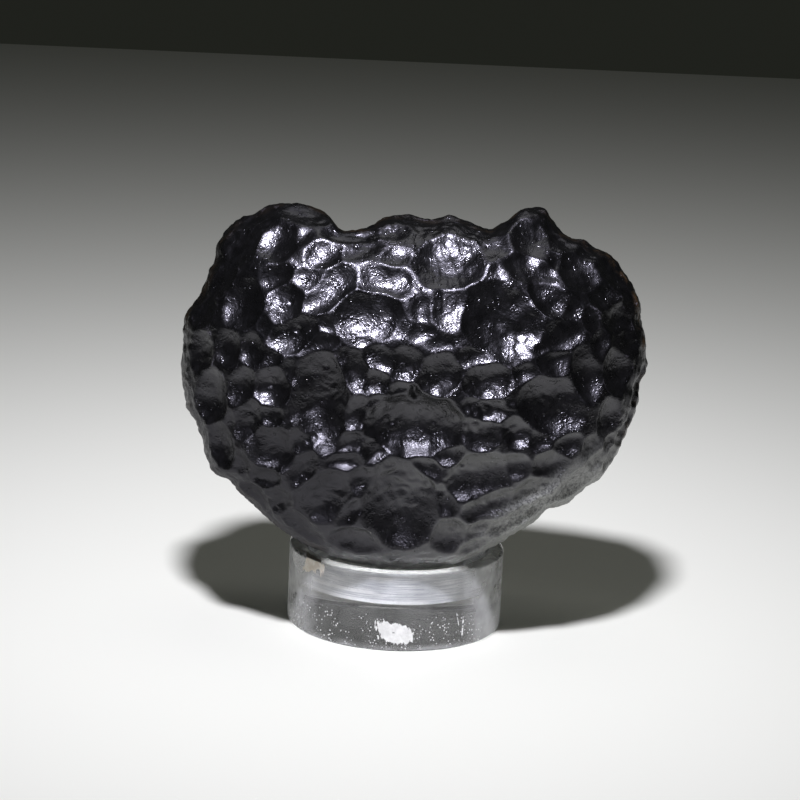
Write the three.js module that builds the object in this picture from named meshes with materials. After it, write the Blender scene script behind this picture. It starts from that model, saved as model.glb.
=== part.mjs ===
// A tektite, a splash of black natural glass, standing in a round clear acrylic display stand.
// Millimetres, +Z up. The origin is the middle of the stand's foot, on the surface it stands on.
// +X runs along the stone's length, -Y is its scalloped face.
import * as THREE from "three";

// ---- Driving dimensions ----

// Display stand: a solid disc with a shallow round recess in its top
const STAND_RADIUS = 12.7;
const STAND_HEIGHT = 9.3;
const STAND_BEVEL = 0.2;
const RECESS_RADIUS = 10.4;
const RECESS_FLOOR = 5.2;
const RECESS_TAPER = 0.1;
const LIP_BEVEL = 0.5;
const STAND_SIDES = 72;

// Stone: where its centre is, how it sits, and the smooth body before it was eaten into
const STONE_CENTRE = new THREE.Vector3(1.2, 1.0, 28.64);
const LAYOUT_LEAN = THREE.MathUtils.degToRad(13.12);
const STONE_TURN = THREE.MathUtils.degToRad(2.54);
const LEAN_BACK = THREE.MathUtils.degToRad(10);
const HALF_LENGTH = 27;
const HALF_HEIGHT = 21;
const HALF_THICKNESS = 14;
const FOOT_THINNING = 0.11;
const SIDE_ROUNDNESS = 2.5;
const TOP_ROUNDNESS = 2.15;
const FOOT_FRONT_ROUNDNESS = 4.6;
const FOOT_BACK_ROUNDNESS = 2.3;
const RIM_TRIM = 0.05;
const CROWN_TRIM = 0.35;
const RIM_AVERAGE_STEP = THREE.MathUtils.degToRad(9);
const RIM_AVERAGE_STEPS = [-3, -2, -1, 0, 1, 2, 3];
const RIM_ONSET = 5;
const OUTLINE_STEPS = 8;

// The outline and the hollows are laid out as they are seen from this far in front of the stone
const SIGHT_DISTANCE = 290;

// Hollows of the face: how far the body curves under each one
const FACE_CURVATURE_RADIUS = 32;
const NORMAL_REACH = 1.5;
const OUTERMOST_HOLLOW = 0.985;
const SHARE_PASSES = 4;
const LEAST_DIP = 0.3;

// Hollows of the hidden sides: [least, most] of each measure, in millimetres or as a share of the size
const SEED = 20240;
const RANDOM_FACTOR = 16807;
const RANDOM_RANGE = 2147483647;
const EDGE = { count: 34, behindMiddle: [3.0, 5.5], size: [2.3, 3.4], longer: 1.25, depth: 0.22 };
const BACK = { count: 105, size: [2.2, 4.8], fewLarge: 1.6, longer: [1.0, 1.5], depth: [0.17, 0.25] };
const BACK_SETBACK = 4.2;
const BACK_SCATTER = [-1.75, 1.75];

// Wandering of the hollows' rims: how far, and one wave for each axis as [x, y, z, start]
const WANDER = 0.007;
const WANDER_WAVES = [
  [0, 31, 17, 1.3],
  [-19, 0, 29, 2.1],
  [33, 15, 0, 4.2],
];

// Net of the stone: each edge of an icosahedron is cut DETAIL times, and the face gets the finer net
const DETAIL = 19;
const NET_STRETCH = new THREE.Vector3(11.8, 7.6, 10.0);
const NET_TOWARDS_FACE = 0.22;
const RIDGE_REACH = 0.022;
const RIDGE_GAP = 1.5;
const SLOPE_STEP = 1e-4;

// ---- Layout of the face ----

// Outline of the stone in its layout plane, clockwise from the left end: [x, z]
const OUTLINE = [
  [-27.2, 2.0], [-27.0, 5.0], [-26.9, 7.7], [-26.2, 9.0], [-25.2, 10.2], [-24.6, 11.6],
  [-24.2, 13.0], [-23.4, 14.6], [-23.0, 16.6], [-22.0, 18.1], [-20.6, 19.3], [-18.8, 20.0],
  [-17.6, 20.9], [-16.2, 21.3], [-14.2, 21.4], [-12.4, 21.0], [-10.8, 20.3], [-9.9, 19.4],
  [-9.2, 18.4], [-8.2, 17.9], [-6.8, 18.0], [-5.2, 18.6], [-3.6, 19.7], [-1.9, 20.1],
  [0.0, 20.0], [1.2, 19.6], [2.7, 19.5], [4.2, 20.0], [5.8, 19.5], [7.2, 18.8],
  [9.2, 18.2], [10.3, 18.9], [12.0, 19.8], [12.6, 20.7], [13.9, 21.0], [15.4, 20.6],
  [16.3, 19.4], [17.2, 18.0], [18.8, 17.1], [20.1, 17.0], [20.9, 16.0], [22.8, 15.2],
  [24.0, 14.0], [25.4, 11.9], [26.5, 9.4], [26.5, 7.6], [27.1, 5.3], [27.1, 3.2],
  [27.2, 1.6], [26.4, -0.2], [26.2, -1.8], [25.6, -4.0], [24.7, -5.8], [23.8, -7.7],
  [22.7, -9.5], [21.7, -10.9], [19.8, -12.2], [18.0, -13.7], [16.8, -14.2], [15.3, -14.6],
  [14.0, -15.9], [12.2, -17.0], [10.5, -18.0], [8.5, -19.2], [6.0, -20.5], [2.0, -21.3],
  [-2.5, -21.4], [-6.5, -20.9], [-9.6, -20.0], [-12.0, -18.9], [-13.9, -17.9], [-15.6, -16.8],
  [-17.3, -15.4], [-18.5, -14.1], [-20.2, -12.8], [-21.3, -11.4], [-23.3, -10.5], [-24.3, -8.4],
  [-24.8, -6.2], [-25.4, -4.5], [-26.4, -3.0], [-26.9, -0.8],
];

// Hollows of the face: [x, z, half length, half width, turn in degrees from +x to +z, depth]
const HOLLOWS = [
  // upper left
  [-16.2, 16.2, 2.8, 2.4, 80, 1.1], [-16.4, 12.4, 2.4, 1.8, 22, 0.8], [-13.1, 17.1, 2.2, 1.1, 52, 0.5],
  [-10.5, 15.2, 3.0, 2.1, 42, 1.1], [-12.3, 12.1, 2.4, 2.0, 42, 0.8], [-15.2, 9.4, 2.8, 2.3, 45, 1.1],
  [-9.7, 11.3, 5.7, 2.0, 43, 1.1], [-20.1, 9.4, 3.2, 2.8, 90, 1.3], [-14.2, 5.8, 3.3, 2.2, 22, 1.2],
  [-12.8, 19.7, 4.2, 2.2, -12, 0.8], [-20.5, 16.3, 5.2, 3.2, 60, 1.0], [-24.7, 8.3, 2.6, 2.2, 65, 0.7],
  [-22.4, 12.2, 3.1, 2.0, 50, 0.6], [-17.4, 6.7, 1.9, 1.1, 100, 0.4], [-11.4, 4.5, 2.7, 1.3, 14, 0.5],
  [-10.3, 6.8, 1.9, 1.2, -25, 0.5], [-17.6, 19.8, 2.6, 1.7, 30, 0.5], [-8.0, 16.8, 1.8, 1.1, 20, 0.4],
  // upper middle
  [-2.7, 17.6, 2.4, 1.6, 15, 0.8], [-2.0, 14.9, 1.9, 1.4, 5, 0.7], [4.0, 14.5, 4.7, 4.0, 78, 1.9],
  [-3.6, 12.0, 3.7, 2.1, -12, 1.0], [-5.5, 8.0, 4.3, 3.1, 0, 1.6], [-6.3, 5.5, 2.1, 1.6, -10, 0.6],
  [0.9, 8.4, 2.3, 1.2, 100, 0.5], [4.3, 9.0, 3.3, 2.2, 85, 0.8], [-6.6, 15.6, 2.4, 1.5, 40, 0.6],
  [1.6, 18.9, 2.8, 1.3, -4, 0.5], [-1.8, 6.6, 1.6, 1.2, 60, 0.4], [0.8, 5.9, 2.0, 1.2, -10, 0.4],
  [2.9, 4.7, 2.0, 1.2, -15, 0.4],
  // upper right
  [10.4, 7.1, 5.5, 4.4, -52, 2.1], [9.7, 15.9, 2.9, 1.9, 95, 0.8], [13.4, 17.2, 3.4, 2.9, 90, 1.2],
  [13.5, 13.4, 3.4, 2.0, -20, 0.9], [15.8, 10.0, 3.1, 2.1, -48, 1.1], [19.5, 12.8, 3.2, 2.6, 100, 1.1],
  [19.8, 16.3, 2.1, 1.2, -25, 0.4], [23.2, 13.0, 3.4, 2.5, -52, 0.9], [22.2, 10.1, 2.4, 1.7, 10, 0.7],
  [25.2, 9.6, 2.1, 1.8, 60, 0.5], [23.9, 7.3, 3.1, 2.0, 0, 0.9], [25.0, 4.9, 3.0, 1.9, 5, 1.0],
  [18.4, 8.2, 1.9, 1.5, 0, 0.5], [17.3, 5.7, 3.1, 2.0, 20, 0.9], [14.2, 20.4, 1.8, 1.1, 0, 0.3],
  [17.7, 16.1, 1.7, 1.0, 100, 0.4], [16.5, 14.4, 2.0, 1.1, 80, 0.5], [20.7, 7.6, 1.8, 1.2, 80, 0.5],
  [21.8, 4.5, 2.2, 1.5, 90, 0.6], [14.8, 4.0, 1.6, 1.0, 20, 0.4],
  // middle band
  [-25.0, 3.6, 2.8, 2.3, 90, 0.7], [-21.9, 4.2, 2.4, 1.8, 90, 0.7], [-19.1, 3.9, 2.3, 1.7, 90, 0.6],
  [-24.1, -1.9, 3.6, 2.9, 82, 1.2], [-20.3, -0.5, 2.2, 1.7, 60, 0.6], [-16.8, -0.6, 2.5, 2.1, 90, 0.9],
  [-17.0, -3.7, 1.8, 1.5, 0, 0.6], [-16.9, 2.9, 1.7, 1.3, 30, 0.4], [-11.1, -2.6, 6.3, 3.2, 96, 1.8],
  [-19.7, -4.3, 2.6, 2.0, 60, 0.8], [-22.8, -7.3, 3.2, 2.4, 112, 0.8], [-8.4, 3.0, 1.3, 0.8, 80, 0.3],
  [-6.9, 1.6, 2.6, 1.5, 95, 0.7], [-4.2, 2.9, 2.2, 1.6, -20, 0.6], [-4.7, -0.1, 1.9, 1.5, 0, 0.7],
  [-1.0, 2.1, 2.2, 1.9, 70, 0.8], [2.8, 0.7, 3.0, 2.4, 50, 1.1], [1.4, -5.2, 4.5, 3.1, -4, 1.5],
  [7.4, 3.2, 2.8, 1.4, 8, 0.6], [8.6, 0.0, 2.9, 2.2, 10, 1.0], [8.3, -3.2, 2.8, 1.6, -12, 0.7],
  [7.7, -6.0, 2.5, 2.1, 0, 0.9], [12.9, 1.1, 1.7, 1.2, -10, 0.4], [16.4, -3.0, 4.6, 3.5, -18, 1.7],
  [20.3, 1.2, 3.3, 2.2, 98, 0.9], [16.6, 2.4, 2.4, 1.7, 0, 0.6], [24.0, 1.6, 3.0, 2.6, 100, 1.0],
  [22.8, -4.3, 2.6, 1.9, 84, 0.9], [23.0, -7.0, 1.5, 1.2, 0, 0.4], [12.2, -5.8, 2.3, 1.9, -10, 0.7],
  [14.9, -6.6, 1.9, 1.7, 0, 0.6], [18.1, -7.4, 2.2, 1.7, 15, 0.8], [-7.0, -3.7, 2.3, 1.7, 60, 0.7],
  [-4.1, -2.6, 1.6, 1.3, 0, 0.5], [-2.2, -1.0, 1.7, 1.2, 0, 0.4], [-21.9, -4.9, 1.6, 1.2, 60, 0.4],
  // lower band
  [-16.8, -7.8, 3.6, 2.8, -28, 1.4], [-13.3, -10.0, 2.5, 1.7, 62, 0.8], [-17.4, -11.3, 2.4, 1.5, 10, 0.6],
  [-7.9, -7.1, 2.3, 1.4, 12, 0.6], [-8.2, -9.3, 2.0, 1.2, -5, 0.5], [-4.7, -7.6, 1.9, 1.6, 0, 0.5],
  [-10.7, -13.6, 4.2, 3.0, 42, 1.6], [-6.0, -11.7, 2.0, 1.7, 60, 0.6], [-7.9, -15.3, 2.6, 1.4, 38, 0.6],
  [-1.6, -14.8, 5.8, 4.1, 96, 2.0], [-7.1, -18.6, 3.2, 2.0, -12, 0.9], [4.0, -18.1, 2.6, 2.3, 90, 0.9],
  [1.2, -10.0, 1.8, 1.1, -15, 0.4], [4.0, -8.4, 2.0, 1.3, 10, 0.5], [3.6, -13.9, 2.2, 1.4, 110, 0.5],
  [7.6, -11.2, 4.4, 2.8, 14, 1.5], [11.8, -9.9, 2.0, 1.6, 0, 0.6], [16.1, -9.6, 2.5, 1.9, 10, 1.0],
  [8.9, -14.4, 3.4, 1.9, 25, 0.9], [13.4, -13.0, 2.6, 1.7, 20, 0.8], [15.4, -11.8, 1.8, 1.3, 30, 0.5],
  [7.4, -17.4, 2.2, 1.5, 30, 0.6], [-13.6, -16.4, 2.4, 1.6, -35, 0.5], [20.9, -7.4, 1.7, 1.4, 40, 0.4],
  [21.1, -9.4, 1.9, 1.4, 50, 0.4], [-20.8, -9.3, 2.3, 1.5, 110, 0.5], [-14.7, 1.6, 1.5, 1.1, 90, 0.3],
  [-13.4, -7.0, 2.4, 1.8, 40, 0.6], [-18.7, -13.0, 2.2, 1.6, -40, 0.5], [-15.9, -13.9, 2.2, 1.6, 30, 0.5],
  [-12.2, -17.9, 1.8, 1.2, -30, 0.4],
  // the narrow wall under the lower right edge
  [18.8, -11.9, 3.0, 2.1, 40, 0.7], [16.9, -13.2, 1.9, 1.4, 35, 0.4], [23.0, -8.7, 2.1, 1.5, 50, 0.5],
  [24.3, -6.0, 1.9, 1.5, 65, 0.5], [25.4, -3.9, 1.7, 1.5, 75, 0.5], [25.8, -1.7, 1.7, 1.4, 80, 0.5],
  [26.4, 0.4, 1.8, 1.4, 60, 0.5], [12.4, -15.7, 2.6, 1.5, 35, 0.5], [9.9, -17.1, 2.2, 1.4, 30, 0.5],
  [14.6, -14.3, 2.0, 1.3, 40, 0.4], [6.8, -19.2, 2.2, 1.2, 25, 0.4],
];

// The hollows are worn shallower high on the face and stay deeper low on it, and the deepest has
// this depth for its mean half width
const HIGH = { height: 8, depthShare: 0.62 };
const MIDDLE_DEPTH_SHARE = 1.05;
const LOW = { height: -6, depthShare: 1.5 };
const DEEPEST = 0.4;

// ---- The smooth body that the hollows are eaten into ----

// The layout plane leans back more than the stone, so the stone's middle plane slopes in the layout
const MIDDLE_SLOPE = Math.tan(LAYOUT_LEAN - LEAN_BACK);

// Outline as rising angles and the radius at each
function polarOutline() {
  const points = OUTLINE.map(([x, z]) => {
    const nearer = 1 - (MIDDLE_SLOPE * z) / SIGHT_DISTANCE;
    return new THREE.Vector3(x * nearer, 0, z * nearer);
  });
  const curve = new THREE.CatmullRomCurve3(points, true, "catmullrom", 0.5);
  const samples = curve.getPoints(OUTLINE_STEPS * points.length).slice(0, -1);
  const polar = samples.map((p) => ({ angle: Math.atan2(p.z, p.x), radius: Math.hypot(p.x, p.z) }));
  return polar.sort((a, b) => a.angle - b.angle);
}

const rim = polarOutline();

function rimRadius(anyAngle) {
  const angle = Math.atan2(Math.sin(anyAngle), Math.cos(anyAngle));
  let next = rim.findIndex((sample) => sample.angle > angle);
  if (next < 0) next = 0;
  const before = rim[(next + rim.length - 1) % rim.length];
  const after = rim[next];
  const turn = 2 * Math.PI;
  const span = (after.angle - before.angle + turn) % turn;
  const share = ((angle - before.angle + turn) % turn) / span;
  const trim = RIM_TRIM + CROWN_TRIM * Math.max(0, Math.sin(angle)) ** 2;
  return THREE.MathUtils.lerp(before.radius, after.radius, share) - trim;
}

// The rim without its bays and knobs, which die out towards the middle of the face and back
function evenRimRadius(angle) {
  const radii = RIM_AVERAGE_STEPS.map((step) => rimRadius(angle + step * RIM_AVERAGE_STEP));
  return radii.reduce((sum, radius) => sum + radius, 0) / radii.length;
}

// share is 0 in the middle of the face and 1 at the rim
function rimRadiusAt(angle, share) {
  return THREE.MathUtils.lerp(evenRimRadius(angle), rimRadius(angle), share ** RIM_ONSET);
}

function halfThickness(angle) {
  const low = Math.max(0, -Math.sin(angle));
  return HALF_THICKNESS * (1 - FOOT_THINNING * low ** 4);
}

// Squareness of the section through the middle: the foot is squarer in front than behind
function roundness(angle, behind) {
  const foot = behind ? FOOT_BACK_ROUNDNESS : FOOT_FRONT_ROUNDNESS;
  const towards = Math.sin(angle) > 0 ? TOP_ROUNDNESS : foot;
  return THREE.MathUtils.lerp(SIDE_ROUNDNESS, towards, Math.abs(Math.sin(angle)));
}

// Distance from the centre to the smooth body's surface, along a direction
function bodyRadius(direction) {
  const angle = Math.atan2(direction.z, direction.x);
  const behind = direction.y + MIDDLE_SLOPE * direction.z;
  const power = roundness(angle, behind > 0);
  const sideways = Math.hypot(direction.x, direction.z);
  const through = Math.abs(behind) / halfThickness(angle);
  const evenAcross = sideways / evenRimRadius(angle);
  const share = evenAcross * (evenAcross ** power + through ** power) ** (-1 / power);
  const across = sideways / rimRadiusAt(angle, share);
  return (across ** power + through ** power) ** (-1 / power);
}

function onBody(vector) {
  const direction = vector.clone().normalize();
  return direction.multiplyScalar(bodyRadius(direction));
}

// Point of the face at a place in the layout, seen straight on
function onFaceStraight(x, z) {
  const angle = Math.atan2(z, x);
  const power = roundness(angle, false);
  let share = Math.hypot(x, z) / evenRimRadius(angle);
  for (let pass = 0; pass < SHARE_PASSES; pass += 1) {
    share = Math.min(Math.hypot(x, z) / rimRadiusAt(angle, Math.min(share, 1)), OUTERMOST_HOLLOW);
  }
  const forward = halfThickness(angle) * (1 - share ** power) ** (1 / power);
  const px = rimRadiusAt(angle, share) * share * Math.cos(angle);
  const pz = rimRadiusAt(angle, share) * share * Math.sin(angle);
  return new THREE.Vector3(px, -forward - MIDDLE_SLOPE * pz, pz);
}

// Point of the face at a place in the layout, allowing for how near it is
function onFace(x, z) {
  const nearer = 1 + onFaceStraight(x, z).y / SIGHT_DISTANCE;
  return onFaceStraight(x * nearer, z * nearer);
}

// Outward normal of the smooth body, averaged over a few millimetres
function bodyNormal(point) {
  const normal = new THREE.Vector3();
  for (const axis of ["x", "y", "z"]) {
    const ahead = point.clone();
    const behind = point.clone();
    ahead[axis] += NORMAL_REACH;
    behind[axis] -= NORMAL_REACH;
    const sizeAhead = ahead.length() / bodyRadius(ahead.clone().normalize());
    const sizeBehind = behind.length() / bodyRadius(behind.clone().normalize());
    normal[axis] = sizeAhead - sizeBehind;
  }
  return normal.normalize();
}

// ---- Hollows: each is an ellipsoid that bites into the body ----

// lengthwise and upward are the directions on the face that the turn is measured between
function makeHollow(point, halfLength, halfWidth, turn, depth, lengthwise, upward) {
  const out = bodyNormal(point);
  const along = lengthwise.clone().multiplyScalar(Math.cos(turn));
  along.addScaledVector(upward, Math.sin(turn));
  along.addScaledVector(out, -along.dot(out)).normalize();
  const across = out.clone().cross(along);
  const size = Math.sqrt(halfLength * halfWidth);
  const bulge = (size * size) / (2 * FACE_CURVATURE_RADIUS);
  const dip = Math.max(depth - bulge, LEAST_DIP * depth);
  const radius = (size * size + dip * dip) / (2 * dip);
  const centre = point.clone().addScaledVector(out, radius - depth);
  along.multiplyScalar(size / (radius * halfLength));
  across.multiplyScalar(size / (radius * halfWidth));
  out.divideScalar(radius);
  const origin = new THREE.Vector3(centre.dot(along), centre.dot(across), centre.dot(out));
  return { along, across, out, origin };
}

// Distance from the stone's centre to where a direction enters a hollow's ellipsoid
function entryRadius(hollow, direction) {
  const { along, across, out, origin } = hollow;
  const ray = new THREE.Vector3(direction.dot(along), direction.dot(across), direction.dot(out));
  const a = ray.lengthSq();
  const b = ray.dot(origin);
  const discriminant = b * b - a * (origin.lengthSq() - 1);
  if (discriminant <= 0 || b <= 0) return Infinity;
  return (b - Math.sqrt(discriminant)) / a;
}

// Repeatable random numbers
let randomState = SEED;
function random() {
  randomState = (randomState * RANDOM_FACTOR) % RANDOM_RANGE;
  return randomState / RANDOM_RANGE;
}

function between([least, most], bias = 1) {
  return THREE.MathUtils.lerp(least, most, random() ** bias);
}

function hiddenHollow(point, halfLength, halfWidth, turn, depth) {
  const out = bodyNormal(point);
  const level = new THREE.Vector3(0, 0, 1).cross(out).normalize();
  const upward = out.clone().cross(level);
  return makeHollow(point, halfLength, halfWidth, turn, depth, level, upward);
}

function depthShare(z) {
  const end = z > 0 ? HIGH : LOW;
  const along = Math.min(z / end.height, 1);
  return THREE.MathUtils.lerp(MIDDLE_DEPTH_SHARE, end.depthShare, along);
}

function faceHollows() {
  const right = new THREE.Vector3(1, 0, 0);
  const up = new THREE.Vector3(0, 0, 1);
  return HOLLOWS.map(([x, z, halfLength, halfWidth, degrees, fullDepth]) => {
    const deepest = DEEPEST * Math.sqrt(halfLength * halfWidth);
    const depth = Math.min(fullDepth * depthShare(z), deepest);
    const turn = THREE.MathUtils.degToRad(degrees);
    return makeHollow(onFace(x, z), halfLength, halfWidth, turn, depth, right, up);
  });
}

// A row of hollows round the edge, just behind the middle plane
function edgeHollows() {
  const edge = [];
  for (let i = 0; i < EDGE.count; i += 1) {
    const angle = (2 * Math.PI * (i + between([0, 0.5]))) / EDGE.count;
    const behind = between(EDGE.behindMiddle);
    const size = between(EDGE.size);
    const turn = between([0, Math.PI]);
    const rimHere = rimRadius(angle);
    const x = rimHere * Math.cos(angle);
    const z = rimHere * Math.sin(angle);
    const place = onBody(new THREE.Vector3(x, behind - MIDDLE_SLOPE * z, z));
    edge.push(hiddenHollow(place, EDGE.longer * size, size, turn, EDGE.depth * size));
  }
  return edge;
}

// The back, covered evenly along a spiral with uneven places and sizes
function backHollows() {
  const back = [];
  const goldenAngle = Math.PI * (3 - Math.sqrt(5));
  for (let i = 0; i < BACK.count; i += 1) {
    const height = (i + 0.5) / BACK.count;
    const reach = Math.sqrt(1 - height * height);
    const size = between(BACK.size, BACK.fewLarge);
    const longer = between(BACK.longer);
    const turn = between([0, Math.PI]);
    const depth = between(BACK.depth) * size;
    const x = HALF_LENGTH * reach * Math.cos(i * goldenAngle) + between(BACK_SCATTER);
    const y = HALF_THICKNESS * height + BACK_SETBACK;
    const z = HALF_HEIGHT * reach * Math.sin(i * goldenAngle) + between(BACK_SCATTER);
    const place = onBody(new THREE.Vector3(x, y - MIDDLE_SLOPE * z, z));
    back.push(hiddenHollow(place, size * longer, size, turn, depth));
  }
  return back;
}

const hollows = [...faceHollows(), ...edgeHollows(), ...backHollows()];

// Small wandering of a direction, so that no hollow's rim is a true ellipse
function wander(direction) {
  const shifts = WANDER_WAVES.map(([x, y, z, start]) => {
    return Math.sin(direction.dot(new THREE.Vector3(x, y, z)) + start);
  });
  const shift = new THREE.Vector3(...shifts);
  return direction.clone().addScaledVector(shift, WANDER).normalize();
}

// ---- The stone's surface as a distance from its centre ----

// The nearest surface in a direction, and the one that would show if it weren't there
function surfacesAt(direction) {
  const wandered = wander(direction);
  let first = { radius: bodyRadius(wandered), hollow: null };
  let second = { radius: Infinity, hollow: null };
  for (const hollow of hollows) {
    const radius = entryRadius(hollow, wandered);
    if (radius < first.radius) {
      second = first;
      first = { radius, hollow };
    } else if (radius < second.radius) {
      second = { radius, hollow };
    }
  }
  return { first, second };
}

function radiusOf(hollow, direction) {
  const wandered = wander(direction);
  return hollow ? entryRadius(hollow, wandered) : bodyRadius(wandered);
}

// Moves a direction onto the ridge between two hollows, where one is close enough
function snapToRidge(direction) {
  const { first, second } = surfacesAt(direction);
  const gap = second.radius - first.radius;
  if (gap > RIDGE_GAP) return direction;
  const sideways = new THREE.Vector3(direction.z, 0, -direction.x).normalize();
  const upwards = direction.clone().cross(sideways);
  const slopes = [sideways, upwards].map((tangent) => {
    const moved = direction.clone().addScaledVector(tangent, SLOPE_STEP).normalize();
    const movedGap = radiusOf(second.hollow, moved) - radiusOf(first.hollow, moved);
    return (movedGap - gap) / SLOPE_STEP;
  });
  const steepness = slopes[0] ** 2 + slopes[1] ** 2;
  const travel = gap / Math.sqrt(steepness);
  if (!Number.isFinite(steepness) || travel > RIDGE_REACH) return direction;
  const shift = -gap / steepness;
  const snapped = direction.clone().addScaledVector(sideways, shift * slopes[0]);
  return snapped.addScaledVector(upwards, shift * slopes[1]).normalize();
}

// Spreads the directions of the net evenly over the flat stone, and closer on its face
function netDirection(x, y, z) {
  const direction = new THREE.Vector3(x, y, z).multiply(NET_STRETCH).normalize();
  direction.y -= NET_TOWARDS_FACE;
  return direction.normalize();
}

// ---- Pieces ----

function makeStone() {
  const geometry = new THREE.IcosahedronGeometry(1, DETAIL);
  const position = geometry.getAttribute("position");
  for (let i = 0; i < position.count; i += 1) {
    const net = netDirection(position.getX(i), position.getY(i), position.getZ(i));
    const direction = snapToRidge(net);
    const { first } = surfacesAt(direction);
    direction.multiplyScalar(first.radius);
    position.setXYZ(i, direction.x, direction.y, direction.z);
  }
  geometry.computeVertexNormals();
  const glass = new THREE.MeshStandardMaterial({ color: 0x0b0b0d, roughness: 0.25, metalness: 0 });
  const stone = new THREE.Mesh(geometry, glass);
  stone.name = "tektite";
  stone.position.copy(STONE_CENTRE);
  stone.rotation.set(-LAYOUT_LEAN, -STONE_TURN, 0);
  return stone;
}

function makeStand() {
  const profile = [
    [0, 0],
    [STAND_RADIUS - STAND_BEVEL, 0],
    [STAND_RADIUS, STAND_BEVEL],
    [STAND_RADIUS, STAND_HEIGHT - STAND_BEVEL],
    [STAND_RADIUS - STAND_BEVEL, STAND_HEIGHT],
    [RECESS_RADIUS + RECESS_TAPER + LIP_BEVEL, STAND_HEIGHT],
    [RECESS_RADIUS + RECESS_TAPER, STAND_HEIGHT - LIP_BEVEL],
    [RECESS_RADIUS, RECESS_FLOOR],
    [0, RECESS_FLOOR],
  ];
  const points = profile.map(([radius, height]) => new THREE.Vector2(radius, height));
  const geometry = new THREE.LatheGeometry(points, STAND_SIDES);
  geometry.rotateX(Math.PI / 2);
  const acrylic = new THREE.MeshStandardMaterial({
    color: 0xf2f5f3,
    roughness: 0.05,
    metalness: 0,
    transparent: true,
    opacity: 0.3,
  });
  const stand = new THREE.Mesh(geometry, acrylic);
  stand.name = "display_stand";
  return stand;
}

const specimen = new THREE.Group();
specimen.add(makeStone());
specimen.add(makeStand());

export default specimen;
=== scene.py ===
import math

import bmesh
import bpy
import numpy as np
from mathutils import Matrix, Quaternion, Vector, noise


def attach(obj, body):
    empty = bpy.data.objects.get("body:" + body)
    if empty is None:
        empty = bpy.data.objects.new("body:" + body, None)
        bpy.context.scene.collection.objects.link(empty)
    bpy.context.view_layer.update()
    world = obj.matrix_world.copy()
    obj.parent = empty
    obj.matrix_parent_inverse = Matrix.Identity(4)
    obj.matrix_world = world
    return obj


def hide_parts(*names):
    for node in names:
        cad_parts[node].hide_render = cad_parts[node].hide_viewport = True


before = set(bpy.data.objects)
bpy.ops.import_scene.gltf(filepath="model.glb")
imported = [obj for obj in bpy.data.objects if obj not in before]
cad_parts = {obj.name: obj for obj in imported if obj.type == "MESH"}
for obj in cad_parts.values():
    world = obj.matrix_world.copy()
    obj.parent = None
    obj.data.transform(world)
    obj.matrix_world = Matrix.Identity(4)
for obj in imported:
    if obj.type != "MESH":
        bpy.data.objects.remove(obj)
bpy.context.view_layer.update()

MM = 0.001

# ---- Driving dimensions, in millimetres ----

# Display stand: a solid clear disc with a shallow round recess turned into its top
STAND_RADIUS = 12.7
STAND_HEIGHT = 9.3
STAND_BEVEL = 0.2
RECESS_RADIUS = 10.4
RECESS_FLOOR = 5.2
RECESS_TAPER = 0.1
LIP_RADIUS = RECESS_RADIUS + RECESS_TAPER
LIP_BEVEL = 0.5
STAND_SIDES, SHARP_DEGREES, MERGE_DISTANCE = 192, 30, 1e-4
STAND_LIFT = 0.05
SKIN_GAP, FLOOR_SKIN_WIDTH, FILM_GAP, PATCH_GAP = 0.04, 1.2, 0.015, 0.03

# Marks on the stand's outer wall. Scratches: (x, low z, high z, half width, slant). Flakes: middle
# (x, z), half size, waves of the outline as (count, size, start), and a nick (u, v, size)
SCRATCHES = [(8.0, 1.1, 3.9, 0.13, 0.03), (7.6, 2.6, 4.4, 0.07, -0.20), (-1.2, 3.0, 4.1, 0.06, 0.05)]
RESIDUE_WAVES = [(2, 0.15, 3.3), (3, 0.07, 0.9), (5, 0.05, 2.2), (9, 0.04, 0.3)]
RESIDUE = ((0.3, 2.25), (2.1, 1.2), RESIDUE_WAVES, (-0.12, 0.05, 0.13))
RIM_FLAKE = ((-9.5, 8.95), (1.1, 1.35), [(3, 0.14, 2.4), (5, 0.08, 0.7), (8, 0.06, 1.9)], (0.5, -0.6, 0.2))
PATCH_CUTS, PATCH_REACH, PATCH_SQUARENESS = 40, 1.4, 4

# Bright lines on the recess wall: (height, where it dies out on x). The upper one is a step the lathe left;
# the lower one, at the floor's corner, is a painted reflection
LATHE_AND_CORNER_LINES = [(5.42, 5.0), (6.45, -1.0)]

# Stone: where its centre is, how it sits, and the smooth body before it was eaten into
STONE_CENTRE = (1.2, 1.0, 28.64)
LAYOUT_LEAN = math.radians(13.12)
STONE_TURN = math.radians(2.54)
LEAN_BACK = math.radians(10.0)
HALF_LENGTH = 27.0
HALF_HEIGHT = 21.0
HALF_THICKNESS = 14.0
FOOT_THINNING = 0.11
SIDE_ROUNDNESS, TOP_ROUNDNESS = 2.5, 2.15
FOOT_FRONT_ROUNDNESS, FOOT_BACK_ROUNDNESS = 4.6, 2.3
RIM_TRIM, CROWN_TRIM = 0.05, 0.35
RIM_AVERAGE_STEP, RIM_AVERAGE_STEPS = math.radians(9.0), (-3, -2, -1, 0, 1, 2, 3)
RIM_ONSET = 5
OUTLINE_STEPS = 8
SIGHT_DISTANCE = 290.0

# Hollows of the face: how far the body curves under each one, and how their ridges are rounded
FACE_CURVATURE_RADIUS = 32.0
NORMAL_REACH = 1.5
OUTERMOST_HOLLOW = 0.985
SHARE_PASSES = 4
LEAST_DIP = 0.3
RIDGE_SOFTNESS = 0.14

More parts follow.
